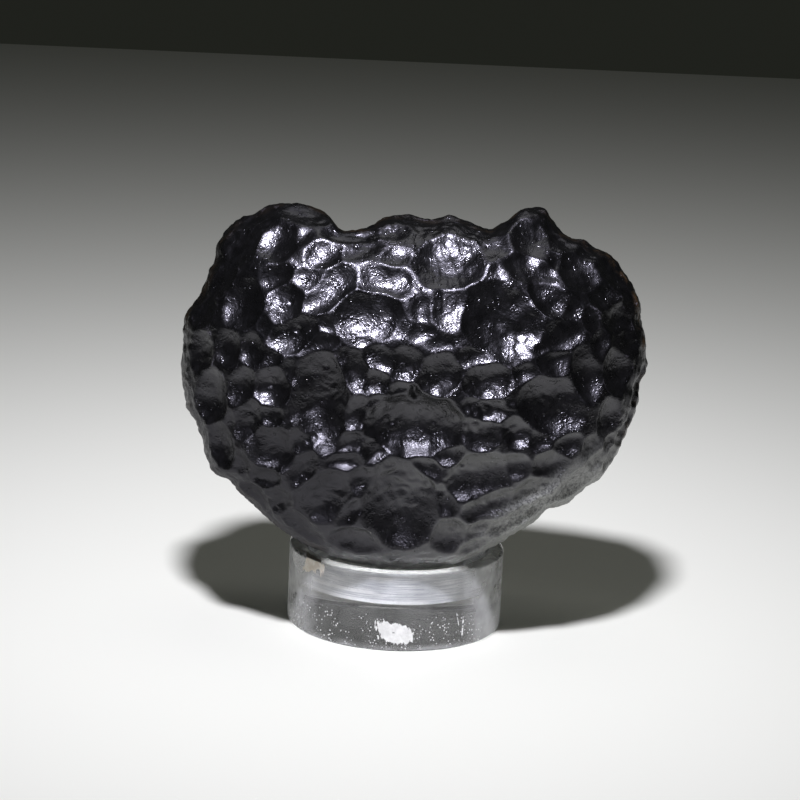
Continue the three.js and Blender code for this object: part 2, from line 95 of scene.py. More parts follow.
# Hollows of the hidden sides: [least, most] of each measure, or a share of the hollow's size
SEED = 20240
RANDOM_FACTOR = 16807
RANDOM_RANGE = 2147483647
EDGE_COUNT, EDGE_STRAY, EDGE_BEHIND = 34, (0, 0.5), (3.0, 5.5)
EDGE_SIZE, EDGE_LONGER, EDGE_DEPTH = (2.3, 3.4), 1.25, 0.22
BACK_COUNT, BACK_SIZE, BACK_FEW_LARGE = 105, (2.2, 4.8), 1.6
BACK_LONGER, BACK_DEPTH = (1.0, 1.5), (0.17, 0.25)
BACK_SETBACK, BACK_SCATTER = 4.2, (-1.75, 1.75)

# Wandering of the hollows' rims: how far, and waves for each axis as [x, y, z, start, share]
WANDER = 0.007
WANDER_WAVES = [
    [(0, 31, 17, 1.3, 1.0), (-43, 0, 57, 0.4, 0.25)],
    [(-19, 0, 29, 2.1, 1.0), (61, 39, 0, 5.0, 0.25)],
    [(33, 15, 0, 4.2, 1.0), (0, 53, -47, 3.3, 0.25)],
]

# Net of the stone: cuts of a cube's edge, drawn out over the flat stone and closer on its face
NET_CUTS = 127
NET_STRETCH = (11.8, 7.6, 10.0)
NET_TOWARDS_FACE = 0.27

# Outline of the stone in its layout plane, clockwise from the left end: (x, z)
OUTLINE = [
    [-27.2, 2.0], [-27.0, 5.0], [-26.9, 7.7], [-26.2, 9.0], [-25.2, 10.2], [-24.6, 11.6],
    [-24.2, 13.0], [-23.4, 14.6], [-23.0, 16.6], [-22.0, 18.1], [-20.6, 19.3], [-18.8, 20.0],
    [-17.6, 20.9], [-16.2, 21.3], [-14.2, 21.4], [-12.4, 21.0], [-10.8, 20.3], [-9.9, 19.4],
    [-9.2, 18.4], [-8.2, 17.9], [-6.8, 18.0], [-5.2, 18.6], [-3.6, 19.7], [-1.9, 20.1],
    [0.0, 20.0], [1.2, 19.6], [2.7, 19.5], [4.2, 20.0], [5.8, 19.5], [7.2, 18.8],
    [9.2, 18.2], [10.3, 18.9], [12.0, 19.8], [12.6, 20.7], [13.9, 21.0], [15.4, 20.6],
    [16.3, 19.4], [17.2, 18.0], [18.8, 17.1], [20.1, 17.0], [20.9, 16.0], [22.8, 15.2],
    [24.0, 14.0], [25.4, 11.9], [26.5, 9.4], [26.5, 7.6], [27.1, 5.3], [27.1, 3.2],
    [27.2, 1.6], [26.4, -0.2], [26.2, -1.8], [25.6, -4.0], [24.7, -5.8], [23.8, -7.7],
    [22.7, -9.5], [21.7, -10.9], [19.8, -12.2], [18.0, -13.7], [16.8, -14.2], [15.3, -14.6],
    [14.0, -15.9], [12.2, -17.0], [10.5, -18.0], [8.5, -19.2], [6.0, -20.5], [2.0, -21.3],
    [-2.5, -21.4], [-6.5, -20.9], [-9.6, -20.0], [-12.0, -18.9], [-13.9, -17.9], [-15.6, -16.8],
    [-17.3, -15.4], [-18.5, -14.1], [-20.2, -12.8], [-21.3, -11.4], [-23.3, -10.5], [-24.3, -8.4],
    [-24.8, -6.2], [-25.4, -4.5], [-26.4, -3.0], [-26.9, -0.8],
]

# Hollows of the face: [x, z, half length, half width, turn in degrees from +x to +z, depth]
HOLLOWS = [
    # upper left
    [-16.2, 16.2, 2.8, 2.4, 80, 1.1], [-16.4, 12.4, 2.4, 1.8, 22, 0.8], [-13.1, 17.1, 2.2, 1.1, 52, 0.5],
    [-10.5, 15.2, 3.0, 2.1, 42, 1.1], [-12.3, 12.1, 2.4, 2.0, 42, 0.8], [-15.2, 9.4, 2.8, 2.3, 45, 1.1],
    [-9.7, 11.3, 5.7, 2.0, 43, 1.1], [-20.1, 9.4, 3.2, 2.8, 90, 1.3], [-14.2, 5.8, 3.3, 2.2, 22, 1.2],
    [-12.8, 19.7, 4.2, 2.2, -12, 0.8], [-20.5, 16.3, 5.2, 3.2, 60, 1.0], [-24.7, 8.3, 2.6, 2.2, 65, 0.7],
    [-22.4, 12.2, 3.1, 2.0, 50, 0.6], [-17.4, 6.7, 1.9, 1.1, 100, 0.4], [-11.4, 4.5, 2.7, 1.3, 14, 0.5],
    [-10.3, 6.8, 1.9, 1.2, -25, 0.5], [-17.6, 19.8, 2.6, 1.7, 30, 0.5], [-8.0, 16.8, 1.8, 1.1, 20, 0.4],
    # upper middle
    [-2.7, 17.6, 2.4, 1.6, 15, 0.8], [-2.0, 14.9, 1.9, 1.4, 5, 0.7], [4.0, 14.5, 4.7, 4.0, 78, 1.9],
    [-3.6, 12.0, 3.7, 2.1, -12, 1.0], [-5.5, 8.0, 4.3, 3.1, 0, 1.6], [-6.3, 5.5, 2.1, 1.6, -10, 0.6],
    [0.9, 8.4, 2.3, 1.2, 100, 0.5], [4.3, 9.0, 3.3, 2.2, 85, 0.8], [-6.6, 15.6, 2.4, 1.5, 40, 0.6],
    [1.6, 18.9, 2.8, 1.3, -4, 0.5], [-1.8, 6.6, 1.6, 1.2, 60, 0.4], [0.8, 5.9, 2.0, 1.2, -10, 0.4],
    [2.9, 4.7, 2.0, 1.2, -15, 0.4],
    # upper right
    [10.4, 7.1, 5.5, 4.4, -52, 2.1], [9.7, 15.9, 2.9, 1.9, 95, 0.8], [13.4, 17.2, 3.4, 2.9, 90, 1.2],
    [13.5, 13.4, 3.4, 2.0, -20, 0.9], [15.8, 10.0, 3.1, 2.1, -48, 1.1], [19.5, 12.8, 3.2, 2.6, 100, 1.1],
    [19.8, 16.3, 2.1, 1.2, -25, 0.4], [23.2, 13.0, 3.4, 2.5, -52, 0.9], [22.2, 10.1, 2.4, 1.7, 10, 0.7],
    [25.2, 9.6, 2.1, 1.8, 60, 0.5], [23.9, 7.3, 3.1, 2.0, 0, 0.9], [25.0, 4.9, 3.0, 1.9, 5, 1.0],
    [18.4, 8.2, 1.9, 1.5, 0, 0.5], [17.3, 5.7, 3.1, 2.0, 20, 0.9], [14.2, 20.4, 1.8, 1.1, 0, 0.3],
    [17.7, 16.1, 1.7, 1.0, 100, 0.4], [16.5, 14.4, 2.0, 1.1, 80, 0.5], [20.7, 7.6, 1.8, 1.2, 80, 0.5],
    [21.8, 4.5, 2.2, 1.5, 90, 0.6], [14.8, 4.0, 1.6, 1.0, 20, 0.4],
    # middle band
    [-25.0, 3.6, 2.8, 2.3, 90, 0.7], [-21.9, 4.2, 2.4, 1.8, 90, 0.7], [-19.1, 3.9, 2.3, 1.7, 90, 0.6],
    [-24.1, -1.9, 3.6, 2.9, 82, 1.2], [-20.3, -0.5, 2.2, 1.7, 60, 0.6], [-16.8, -0.6, 2.5, 2.1, 90, 0.9],
    [-17.0, -3.7, 1.8, 1.5, 0, 0.6], [-16.9, 2.9, 1.7, 1.3, 30, 0.4], [-11.1, -2.6, 6.3, 3.2, 96, 1.8],
    [-19.7, -4.3, 2.6, 2.0, 60, 0.8], [-22.8, -7.3, 3.2, 2.4, 112, 0.8], [-8.4, 3.0, 1.3, 0.8, 80, 0.3],
    [-6.9, 1.6, 2.6, 1.5, 95, 0.7], [-4.2, 2.9, 2.2, 1.6, -20, 0.6], [-4.7, -0.1, 1.9, 1.5, 0, 0.7],
    [-1.0, 2.1, 2.2, 1.9, 70, 0.8], [2.8, 0.7, 3.0, 2.4, 50, 1.1], [1.4, -5.2, 4.5, 3.1, -4, 1.5],
    [7.4, 3.2, 2.8, 1.4, 8, 0.6], [8.6, 0.0, 2.9, 2.2, 10, 1.0], [8.3, -3.2, 2.8, 1.6, -12, 0.7],
    [7.7, -6.0, 2.5, 2.1, 0, 0.9], [12.9, 1.1, 1.7, 1.2, -10, 0.4], [16.4, -3.0, 4.6, 3.5, -18, 1.7],
    [20.3, 1.2, 3.3, 2.2, 98, 0.9], [16.6, 2.4, 2.4, 1.7, 0, 0.6], [24.0, 1.6, 3.0, 2.6, 100, 1.0],
    [22.8, -4.3, 2.6, 1.9, 84, 0.9], [23.0, -7.0, 1.5, 1.2, 0, 0.4], [12.2, -5.8, 2.3, 1.9, -10, 0.7],
    [14.9, -6.6, 1.9, 1.7, 0, 0.6], [18.1, -7.4, 2.2, 1.7, 15, 0.8], [-7.0, -3.7, 2.3, 1.7, 60, 0.7],
    [-4.1, -2.6, 1.6, 1.3, 0, 0.5], [-2.2, -1.0, 1.7, 1.2, 0, 0.4], [-21.9, -4.9, 1.6, 1.2, 60, 0.4],
    # lower band
    [-16.8, -7.8, 3.6, 2.8, -28, 1.4], [-13.3, -10.0, 2.5, 1.7, 62, 0.8], [-17.4, -11.3, 2.4, 1.5, 10, 0.6],
    [-7.9, -7.1, 2.3, 1.4, 12, 0.6], [-8.2, -9.3, 2.0, 1.2, -5, 0.5], [-4.7, -7.6, 1.9, 1.6, 0, 0.5],
    [-10.7, -13.6, 4.2, 3.0, 42, 1.6], [-6.0, -11.7, 2.0, 1.7, 60, 0.6], [-7.9, -15.3, 2.6, 1.4, 38, 0.6],
    [-1.6, -14.8, 5.8, 4.1, 96, 2.0], [-7.1, -18.6, 3.2, 2.0, -12, 0.9], [4.0, -18.1, 2.6, 2.3, 90, 0.9],
    [1.2, -10.0, 1.8, 1.1, -15, 0.4], [4.0, -8.4, 2.0, 1.3, 10, 0.5], [3.6, -13.9, 2.2, 1.4, 110, 0.5],
    [7.6, -11.2, 4.4, 2.8, 14, 1.5], [11.8, -9.9, 2.0, 1.6, 0, 0.6], [16.1, -9.6, 2.5, 1.9, 10, 1.0],
    [8.9, -14.4, 3.4, 1.9, 25, 0.9], [13.4, -13.0, 2.6, 1.7, 20, 0.8], [15.4, -11.8, 1.8, 1.3, 30, 0.5],
    [7.4, -17.4, 2.2, 1.5, 30, 0.6], [-13.6, -16.4, 2.4, 1.6, -35, 0.5], [20.9, -7.4, 1.7, 1.4, 40, 0.4],
    [21.1, -9.4, 1.9, 1.4, 50, 0.4], [-20.8, -9.3, 2.3, 1.5, 110, 0.5], [-14.7, 1.6, 1.5, 1.1, 90, 0.3],
    [-13.4, -7.0, 2.4, 1.8, 40, 0.6], [-18.7, -13.0, 2.2, 1.6, -40, 0.5], [-15.9, -13.9, 2.2, 1.6, 30, 0.5],
    [-12.2, -17.9, 1.8, 1.2, -30, 0.4],
    # the narrow wall under the lower right edge
    [18.8, -11.9, 3.0, 2.1, 40, 0.7], [16.9, -13.2, 1.9, 1.4, 35, 0.4], [23.0, -8.7, 2.1, 1.5, 50, 0.5],
    [24.3, -6.0, 1.9, 1.5, 65, 0.5], [25.4, -3.9, 1.7, 1.5, 75, 0.5], [25.8, -1.7, 1.7, 1.4, 80, 0.5],
    [26.4, 0.4, 1.8, 1.4, 60, 0.5], [12.4, -15.7, 2.6, 1.5, 35, 0.5], [9.9, -17.1, 2.2, 1.4, 30, 0.5],
    [14.6, -14.3, 2.0, 1.3, 40, 0.4], [6.8, -19.2, 2.2, 1.2, 25, 0.4],
]

# The hollows are worn shallower high on the face and stay deeper low on it: shares at three heights,
# and the most depth for a hollow's mean half width
DEPTH_HEIGHTS, DEPTH_SHARES = (-6.0, 0.0, 8.0), (1.5, 1.05, 0.62)
DEEPEST = 0.40

# Small round pits, and a few pimples with a negative depth: (x, z, radius, depth)
PITS = [
    (-14.6, 9.4, 0.34, 0.16), (-12.9, 12.0, 0.34, 0.14), (-13.8, 6.3, 0.50, 0.20), (-16.9, -0.1, 0.55, 0.22),
    (-12.2, -6.7, 0.80, 0.24), (-10.4, 1.9, 0.40, 0.14), (-3.2, -17.7, 0.42, 0.16), (-2.5, -16.3, 0.34, 0.12),
    (-2.4, -15.2, 0.34, 0.12), (-1.0, -14.5, 0.36, 0.12), (-1.0, -18.4, 0.36, 0.12), (4.4, -17.0, 0.40, 0.14),
    (3.7, -19.3, 0.36, 0.12), (4.4, -18.5, 0.36, 0.12), (5.6, -9.6, 0.32, 0.12), (-5.5, -9.9, 0.50, -0.16),
    (-6.9, -9.6, 0.36, 0.12), (-2.8, -4.6, 0.40, 0.14), (12.5, 5.6, 0.95, 0.12), (12.6, 4.0, 1.05, 0.13),
    (10.3, 6.2, 1.50, 0.10), (13.3, 8.0, 0.90, 0.10),
]

# Bands of flow lines: (x, z, half length, half width, turn of the lines in degrees, spacing, depth)
FLOW_BANDS = [
    (6.0, 15.6, 3.2, 1.8, 106, 0.62, 0.050), (4.2, 13.2, 2.6, 2.2, 96, 0.74, 0.045),
    (1.2, -7.2, 1.4, 4.2, 92, 0.44, 0.070), (4.3, 9.0, 2.6, 1.8, 88, 0.66, 0.045),
    (11.5, 8.0, 2.6, 0.9, 122, 0.50, 0.050), (16.4, -1.8, 2.8, 1.6, 100, 0.70, 0.040),
    (-12.6, 13.2, 1.6, 0.9, 128, 0.60, 0.040), (14.0, 12.6, 1.6, 1.4, 118, 0.58, 0.040),
]

# Shape of every pit, and the pits of the hidden sides
PIT_LIP, PIT_LIP_PLACE, PIT_LIP_WIDTH = 0.22, 1.18, 0.25
HIDDEN_PITS, HIDDEN_PIT_RADIUS, HIDDEN_PIT_DEPTH = 60, (0.35, 0.95), 0.30
HIDDEN_PIT_OVERLAP, HIDDEN_PIT_HEIGHT = 0.15, 0.9

# How flow lines waver: (how far, waves along them, waves across them), and a second set of lines
# among them: (share, pace, start)
FLOW_WAVER, FLOW_SECOND_LINES = (0.22, 0.9, 1.3), (0.5, 0.47, 1.7)

# Slow unevenness of the surface, as (wavelength, size), and little lumps: they lie below a height
# in patches, and along the rim from one share of the way out to another
UNEVENNESS = [(1.9, 0.070), (0.8, 0.030)]
LUMP_WAVELENGTH, LUMP_HEIGHT = 1.1, 0.32
LUMP_PATCHES, LUMP_COVER, LUMP_CONTRAST = 5.0, 0.5, 2.0
LUMP_TOP, LUMP_FADE, LUMP_RIM = 4.0, 8.0, (0.80, 0.92)

# For the finish: how wide a ridge counts as, and how far the fine lines turn from the length of
# their hollow
RIDGE_WIDTH = 0.12
FINE_LINE_TURN = (-0.7, 0.7)

# Floor, lamp, room and camera
FLOOR_SIZE = 700.0
KEY_PLACE, KEY_AIM = (-16, -134, 240), (0, 100, 0)
KEY_DIAMETER, KEY_POWER, KEY_SPREAD, KEY_COLOUR = 30.0, 0.385, 100.0, (0.90, 0.89, 1.0)
BACK_PLACE, BACK_AIM = (40, 120, 460), (0, 0, 20)
BACK_DIAMETER, BACK_POWER, BACK_SPREAD, BACK_COLOUR = 260.0, 0.16, 180.0, (1, 1, 1)
ROOM_COLOUR = (0.014, 0.015, 0.012)
TABLE_COLOUR, TABLE_ROUGHNESS = (0.860, 0.870, 0.775, 1), 0.6
SENSOR, LENS = 36.0, 112.5
CAMERA_AIM, CAMERA_DISTANCE = (-0.37, 0, 26.79), 293.5


# ---- The smooth body that the hollows are eaten into ----

# The layout plane leans back more than the stone, so the stone's middle plane slopes in the layout
MIDDLE_SLOPE = math.tan(LAYOUT_LEAN - LEAN_BACK)


def unit(vectors):
    return vectors / np.linalg.norm(vectors, axis=-1, keepdims=True)


def smooth_closed(points, steps):
    """Points on a smooth closed curve through the given ones."""
    here = np.array(points, float)
    before, after, beyond = (np.roll(here, shift, 0) for shift in (1, -1, -2))
    rows = []
    for t in np.arange(steps) / steps:
        bend = (2 * before - 5 * here + 4 * after - beyond) * t**2
        twist = (3 * here - before - 3 * after + beyond) * t**3
        rows.append((2 * here + (after - before) * t + bend + twist) / 2)
    return np.stack(rows, 1).reshape(-1, 2)


outline = smooth_closed(OUTLINE, OUTLINE_STEPS)
outline = outline * (1 - MIDDLE_SLOPE * outline[:, [1]] / SIGHT_DISTANCE)


def rim_radius(angles):
    rim_angles = np.arctan2(outline[:, 1], outline[:, 0])
    rim_radii = np.hypot(outline[:, 0], outline[:, 1])
    trim = RIM_TRIM + CROWN_TRIM * np.maximum(0, np.sin(angles)) ** 2
    return np.interp(angles, rim_angles, rim_radii, period=2 * math.pi) - trim


def even_rim_radius(angles):
    """The rim without its bays and knobs, which die out towards the middle of the face and back."""
    nearby = [rim_radius(angles + step * RIM_AVERAGE_STEP) for step in RIM_AVERAGE_STEPS]
    return sum(nearby) / len(nearby)


def rim_radius_at(angles, share):
    """share is 0 in the middle of the face and 1 at the rim."""
    even = even_rim_radius(angles)
    return even + (rim_radius(angles) - even) * share**RIM_ONSET


def half_thickness(angles):
    return HALF_THICKNESS * (1 - FOOT_THINNING * np.maximum(0, -np.sin(angles)) ** 4)


def roundness(angles, behind):
    """Squareness of the section through the middle: the foot is squarer in front than behind."""
    foot = np.where(behind, FOOT_BACK_ROUNDNESS, FOOT_FRONT_ROUNDNESS)
    towards = np.where(np.sin(angles) > 0, TOP_ROUNDNESS, foot)
    return SIDE_ROUNDNESS + (towards - SIDE_ROUNDNESS) * np.abs(np.sin(angles))


def body_radius(directions):
    """Distance from the centre to the smooth body's surface, along each direction."""
    x, y, z = directions[..., 0], directions[..., 1], directions[..., 2]
    angles = np.arctan2(z, x)
    behind = y + MIDDLE_SLOPE * z
    power = roundness(angles, behind > 0)
    through = np.abs(behind) / half_thickness(angles)
    even_across = np.hypot(x, z) / even_rim_radius(angles)
    share = even_across * (even_across**power + through**power) ** (-1 / power)
    across = np.hypot(x, z) / rim_radius_at(angles, share)
    return (across**power + through**power) ** (-1 / power)


def on_body(vector):
    direction = unit(np.array(vector, float))
    return direction * body_radius(direction)


def on_face_straight(x, z):
    angle = math.atan2(z, x)
    power = roundness(angle, False)
    share = math.hypot(x, z) / even_rim_radius(angle)
    for _ in range(SHARE_PASSES):
        share = min(math.hypot(x, z) / rim_radius_at(angle, min(share, 1)), OUTERMOST_HOLLOW)
    forward = half_thickness(angle) * (1 - share**power) ** (1 / power)
    reach = rim_radius_at(angle, share) * share
    px, pz = reach * math.cos(angle), reach * math.sin(angle)
    return np.array([px, -forward - MIDDLE_SLOPE * pz, pz])


def on_face(x, z):
    """Point of the face at a place in the layout, allowing for how near it is."""
    nearer = 1 + on_face_straight(x, z)[1] / SIGHT_DISTANCE
    return on_face_straight(x * nearer, z * nearer)


def body_normal(point):
    steps = np.eye(3) * NORMAL_REACH
    sizes = []
    for probes in (point + steps, point - steps):
        sizes.append(np.linalg.norm(probes, axis=1) / body_radius(unit(probes)))
    return unit(sizes[0] - sizes[1])


# ---- Hollows: each is an ellipsoid that bites into the body ----


def make_hollow(point, half_length, half_width, turn, depth, lengthwise, upward):
    out = body_normal(point)
    along = lengthwise * math.cos(turn) + upward * math.sin(turn)
    along = unit(along - out * along.dot(out))
    across = np.cross(out, along)
    size = math.sqrt(half_length * half_width)
    bulge = size**2 / (2 * FACE_CURVATURE_RADIUS)
    dip = max(depth - bulge, LEAST_DIP * depth)
    radius = (size**2 + dip**2) / (2 * dip)
    centre = point + out * (radius - depth)
    along, across = along * size / (radius * half_length), across * size / (radius * half_width)
    axes = np.array([along, across, out / radius])
    return axes, axes @ centre


random_state = SEED


def between(least, most, bias=1.0):
    """Repeatable random number between two others."""
    global random_state
    random_state = random_state * RANDOM_FACTOR % RANDOM_RANGE
    return least + (most - least) * (random_state / RANDOM_RANGE) ** bias


def hidden_hollow(place, half_length, half_width, turn, depth):
    point = on_body(place)
    out = body_normal(point)
    level = unit(np.cross((0.0, 0.0, 1.0), out))
    return make_hollow(point, half_length, half_width, turn, depth, level, np.cross(out, level))


def face_hollows():
    right, up = np.array((1.0, 0.0, 0.0)), np.array((0.0, 0.0, 1.0))
    rows = []
    for x, z, half_length, half_width, degrees, depth in HOLLOWS:
        turn = math.radians(degrees)
        depth = depth * np.interp(z, DEPTH_HEIGHTS, DEPTH_SHARES)
        depth = min(depth, DEEPEST * math.sqrt(half_length * half_width))
        rows.append(make_hollow(on_face(x, z), half_length, half_width, turn, depth, right, up))
    return rows


def edge_hollows():
    """A row of hollows round the edge, just behind the middle plane."""
    rows = []
    for i in range(EDGE_COUNT):
        angle = 2 * math.pi * (i + between(*EDGE_STRAY)) / EDGE_COUNT
        behind = between(*EDGE_BEHIND)
        size = between(*EDGE_SIZE)
        turn = between(0, math.pi)
        x, z = rim_radius(angle) * math.cos(angle), rim_radius(angle) * math.sin(angle)
        place = (x, behind - MIDDLE_SLOPE * z, z)
        rows.append(hidden_hollow(place, EDGE_LONGER * size, size, turn, EDGE_DEPTH * size))
    return rows


def back_hollows():
    """The back, covered evenly along a spiral with uneven places and sizes."""
    rows = []
    golden_angle = math.pi * (3 - math.sqrt(5))
    for i in range(BACK_COUNT):
        height = (i + 0.5) / BACK_COUNT
        reach = math.sqrt(1 - height**2)
        size = between(*BACK_SIZE, BACK_FEW_LARGE)
        longer = between(*BACK_LONGER)
        turn = between(0, math.pi)
        depth = between(*BACK_DEPTH) * size
        x = HALF_LENGTH * reach * math.cos(i * golden_angle) + between(*BACK_SCATTER)
        y = HALF_THICKNESS * height + BACK_SETBACK
        z = HALF_HEIGHT * reach * math.sin(i * golden_angle) + between(*BACK_SCATTER)
        rows.append(hidden_hollow((x, y - MIDDLE_SLOPE * z, z), size * longer, size, turn, depth))
    return rows


hollows = face_hollows() + edge_hollows() + back_hollows()


def wander(directions):
    """Small wandering of the directions, so that no hollow's rim is a true ellipse."""
    shift = np.zeros_like(directions)
    for axis, waves in enumerate(WANDER_WAVES):
        for *wave, start, share in waves:
            shift[:, axis] += share * np.sin(directions @ np.array(wave, float) + start)
    return unit(directions + WANDER * shift)


def stone_surface(net):
    """Distance to the stone's surface along each direction, how far behind it the next hollow lies,
    and which hollow is at the surface."""
    directions = wander(net)
    radii = body_radius(directions)
    next_radii = np.full(len(net), np.inf)
    owners = np.full(len(net), -1)
    for index, (axes, origin) in enumerate(hollows):
        rays = directions @ axes.T
        a = (rays**2).sum(1)
        b = rays @ origin
        inside = b**2 - a * (origin @ origin - 1)
        met = (inside > 0) & (b > 0)
        entry = np.where(met, (b - np.sqrt(np.where(met, inside, 0))) / a, np.inf)
        owners = np.where(entry < radii, index, owners)
        next_radii = np.where(entry < radii, radii, np.minimum(next_radii, entry))
        apart = np.where(met, np.abs(radii - entry), np.inf)
        blend = np.maximum(RIDGE_SOFTNESS - apart, 0) / RIDGE_SOFTNESS
        radii = np.minimum(radii, entry) - blend**2 * RIDGE_SOFTNESS / 4
    return radii, next_radii - radii, owners


# ---- Making a piece ----


def smooth_piece(name, bm, material, sharp_angle=None):
    mesh = bpy.data.meshes.new(name)
    bm.to_mesh(mesh)
    bm.free()
    mesh.shade_smooth()
    if sharp_angle is not None:
        mesh.set_sharp_from_angle(angle=math.radians(sharp_angle))
    mesh.materials.append(material)
    piece = bpy.data.objects.new(name, mesh)
    bpy.context.scene.collection.objects.link(piece)
    return piece


def add_attribute(piece, name, kind, values):
    attribute = piece.data.attributes.new(name, kind, "POINT")
    field = "vector" if kind == "FLOAT_VECTOR" else "value"
    attribute.data.foreach_set(field, np.ascontiguousarray(values, np.float32).ravel())


# ---- Making a finish ----


def node(tree, kind, inputs=(), **settings):
    """Adds a shader node, with values or other nodes' outputs for its inputs."""
    made = tree.nodes.new("ShaderNode" + kind)
    for name, value in settings.items():
        setattr(made, name, value)
    set_inputs(tree, made, dict(inputs))
    return made


def set_inputs(tree, made, inputs):
    for name, value in inputs.items():
        if isinstance(value, bpy.types.NodeSocket):
            tree.links.new(value, made.inputs[name])
        else:
            made.inputs[name].default_value = value


def math_node(tree, operation, first, second=0.0, third=0.0):
    return node(tree, "Math", {0: first, 1: second, 2: third}, operation=operation).outputs[0]


def product(tree, *factors):
    result = factors[0]
    for factor in factors[1:]:
        result = math_node(tree, "MULTIPLY", result, factor)
    return result


def greatest(tree, *values):
    result = values[0]
    for value in values[1:]:
        result = math_node(tree, "MAXIMUM", result, value)
    return result


def add_share(tree, value, share, total):
    """total + share * value"""
    return math_node(tree, "MULTIPLY_ADD", value, share, total)


def ramp(tree, value, low, high, to_low=0.0, to_high=1.0):
    """A smooth step: to_low where value is low or less, to_high where it is high or more."""
    inputs = {"Value": value, "From Min": low, "From Max": high, "To Min": to_low, "To Max": to_high}
    return node(tree, "MapRange", inputs, interpolation_type="SMOOTHSTEP").outputs[0]


def mix_colour(tree, factor, first, second):
    return node(tree, "Mix", {0: factor, 6: first, 7: second}, data_type="RGBA").outputs[2]


def mix_value(tree, factor, first, second):
    return node(tree, "Mix", {0: factor, 2: first, 3: second}, data_type="FLOAT").outputs[0]


def attribute(tree, name, output="Fac"):
    return node(tree, "Attribute", attribute_name=name).outputs[output]


def millimetre_place(tree):
    """The place on the piece, counted in millimetres."""
    place = node(tree, "TexCoord").outputs["Object"]
    return node(tree, "VectorMath", {0: place, "Scale": 1 / MM}, operation="SCALE").outputs[0]


def split(tree, vector):
    return node(tree, "SeparateXYZ", {0: vector}).outputs


def noise_at(tree, place, scale, detail=2.0, roughness=0.5, distortion=0.0):
    inputs = {"Vector": place, "Scale": scale, "Detail": detail, "Roughness": roughness}
    return node(tree, "TexNoise", {**inputs, "Distortion": distortion}).outputs["Fac"]


def from_cells(tree, place, scale):
    """Distance to the middle of the nearest cell."""
    cells = node(tree, "TexVoronoi", {"Vector": place, "Scale": scale, "Randomness": 1.0})
    return cells.outputs["Distance"]


def bump_of(tree, height):
    """A bump from a height in millimetres."""
    return node(tree, "Bump", {"Strength": 1.0, "Distance": MM, "Height": height}).outputs[0]


def new_material(name):
    material = bpy.data.materials.new(name)
    material.use_nodes = True
    return material, material.node_tree, material.node_tree.nodes["Principled BSDF"]


# ---- The stone's shape ----


def hidden_pits(points):
    """Small pits scattered over the hidden sides, as [place, radius, depth]."""
    rows = []
    for _ in range(HIDDEN_PITS):
        longitude = between(-HIDDEN_PIT_OVERLAP, math.pi + HIDDEN_PIT_OVERLAP)
        height = between(-HIDDEN_PIT_HEIGHT, HIDDEN_PIT_HEIGHT)
        reach = math.sqrt(1 - height**2)
        toward = np.array((reach * math.cos(longitude), reach * math.sin(longitude), height)) * NET_STRETCH
        nearest = int(np.argmax(unit(points) @ unit(toward)))
        radius = between(*HIDDEN_PIT_RADIUS)
        rows.append((points[nearest], radius, radius * HIDDEN_PIT_DEPTH))
    return rows


def pit_shape(away):
    """A round bowl with a low lip, from its middle at 0 to its edge at 1."""
    bowl = np.maximum(1 - away**2, 0)
    return bowl - PIT_LIP * np.exp(-(((away - PIT_LIP_PLACE) / PIT_LIP_WIDTH) ** 2))


def rim_share(points):
    """How near each point is to the rim as seen from the front: 1 on it."""
    return np.hypot(points[:, 0], points[:, 2]) / rim_radius(np.arctan2(points[:, 2], points[:, 0]))


def noise_values(points, wavelength):
    return np.array([noise.noise(Vector(point) / wavelength) for point in points])


def flow_band(seen, x, z, half_length, half_width, degrees, spacing, depth):
    """Wavering lines side by side in an oval, highest in its middle."""
    turn = math.radians(degrees)
    along = (seen - (x, z)) @ (math.cos(turn), math.sin(turn))
    across = (seen - (x, z)) @ (-math.sin(turn), math.cos(turn))
    inside = np.maximum(1 - (along / half_length) ** 2 - (across / half_width) ** 2, 0)
    waver, waver_along, waver_across = FLOW_WAVER
    waver = waver * np.sin(waver_along * along + waver_across * across)
    phase = 2 * math.pi * (across + waver) / spacing
    share, pace, start = FLOW_SECOND_LINES
    lines = (np.sin(phase) + share * np.sin(pace * phase + start)) / (1 + share)
    return depth * np.sqrt(inside) * lines


def lumps(points):
    """Little lumps low on the stone, in patches, and all along its rim."""
    where = LUMP_COVER + LUMP_CONTRAST * noise_values(points, LUMP_PATCHES)
    low = np.clip((LUMP_TOP - points[:, 2]) / LUMP_FADE, 0, 1) * np.clip(where, 0, 1)
    at_rim = np.clip((rim_share(points) - LUMP_RIM[0]) / (LUMP_RIM[1] - LUMP_RIM[0]), 0, 1)
    return LUMP_HEIGHT * np.maximum(low, at_rim) * np.abs(noise_values(points, LUMP_WAVELENGTH))


def relief(points):
    """Pits, pimples, flow lines and slow unevenness, as a height above the hollowed surface."""
    seen = points[:, [0, 2]] / (1 + points[:, [1]] / SIGHT_DISTANCE)
    facing = points[:, 1] + MIDDLE_SLOPE * points[:, 2] < 0
    height = np.zeros(len(points))
    for x, z, radius, depth in PITS:
        height -= facing * depth * pit_shape(np.hypot(seen[:, 0] - x, seen[:, 1] - z) / radius)
    for band in FLOW_BANDS:
        height += facing * flow_band(seen, *band)
    for place, radius, depth in hidden_pits(points):
        height -= depth * pit_shape(np.linalg.norm(points - place, axis=1) / radius)
    for wavelength, size in UNEVENNESS:
        height += size * noise_values(points, wavelength)
    return height + lumps(points)


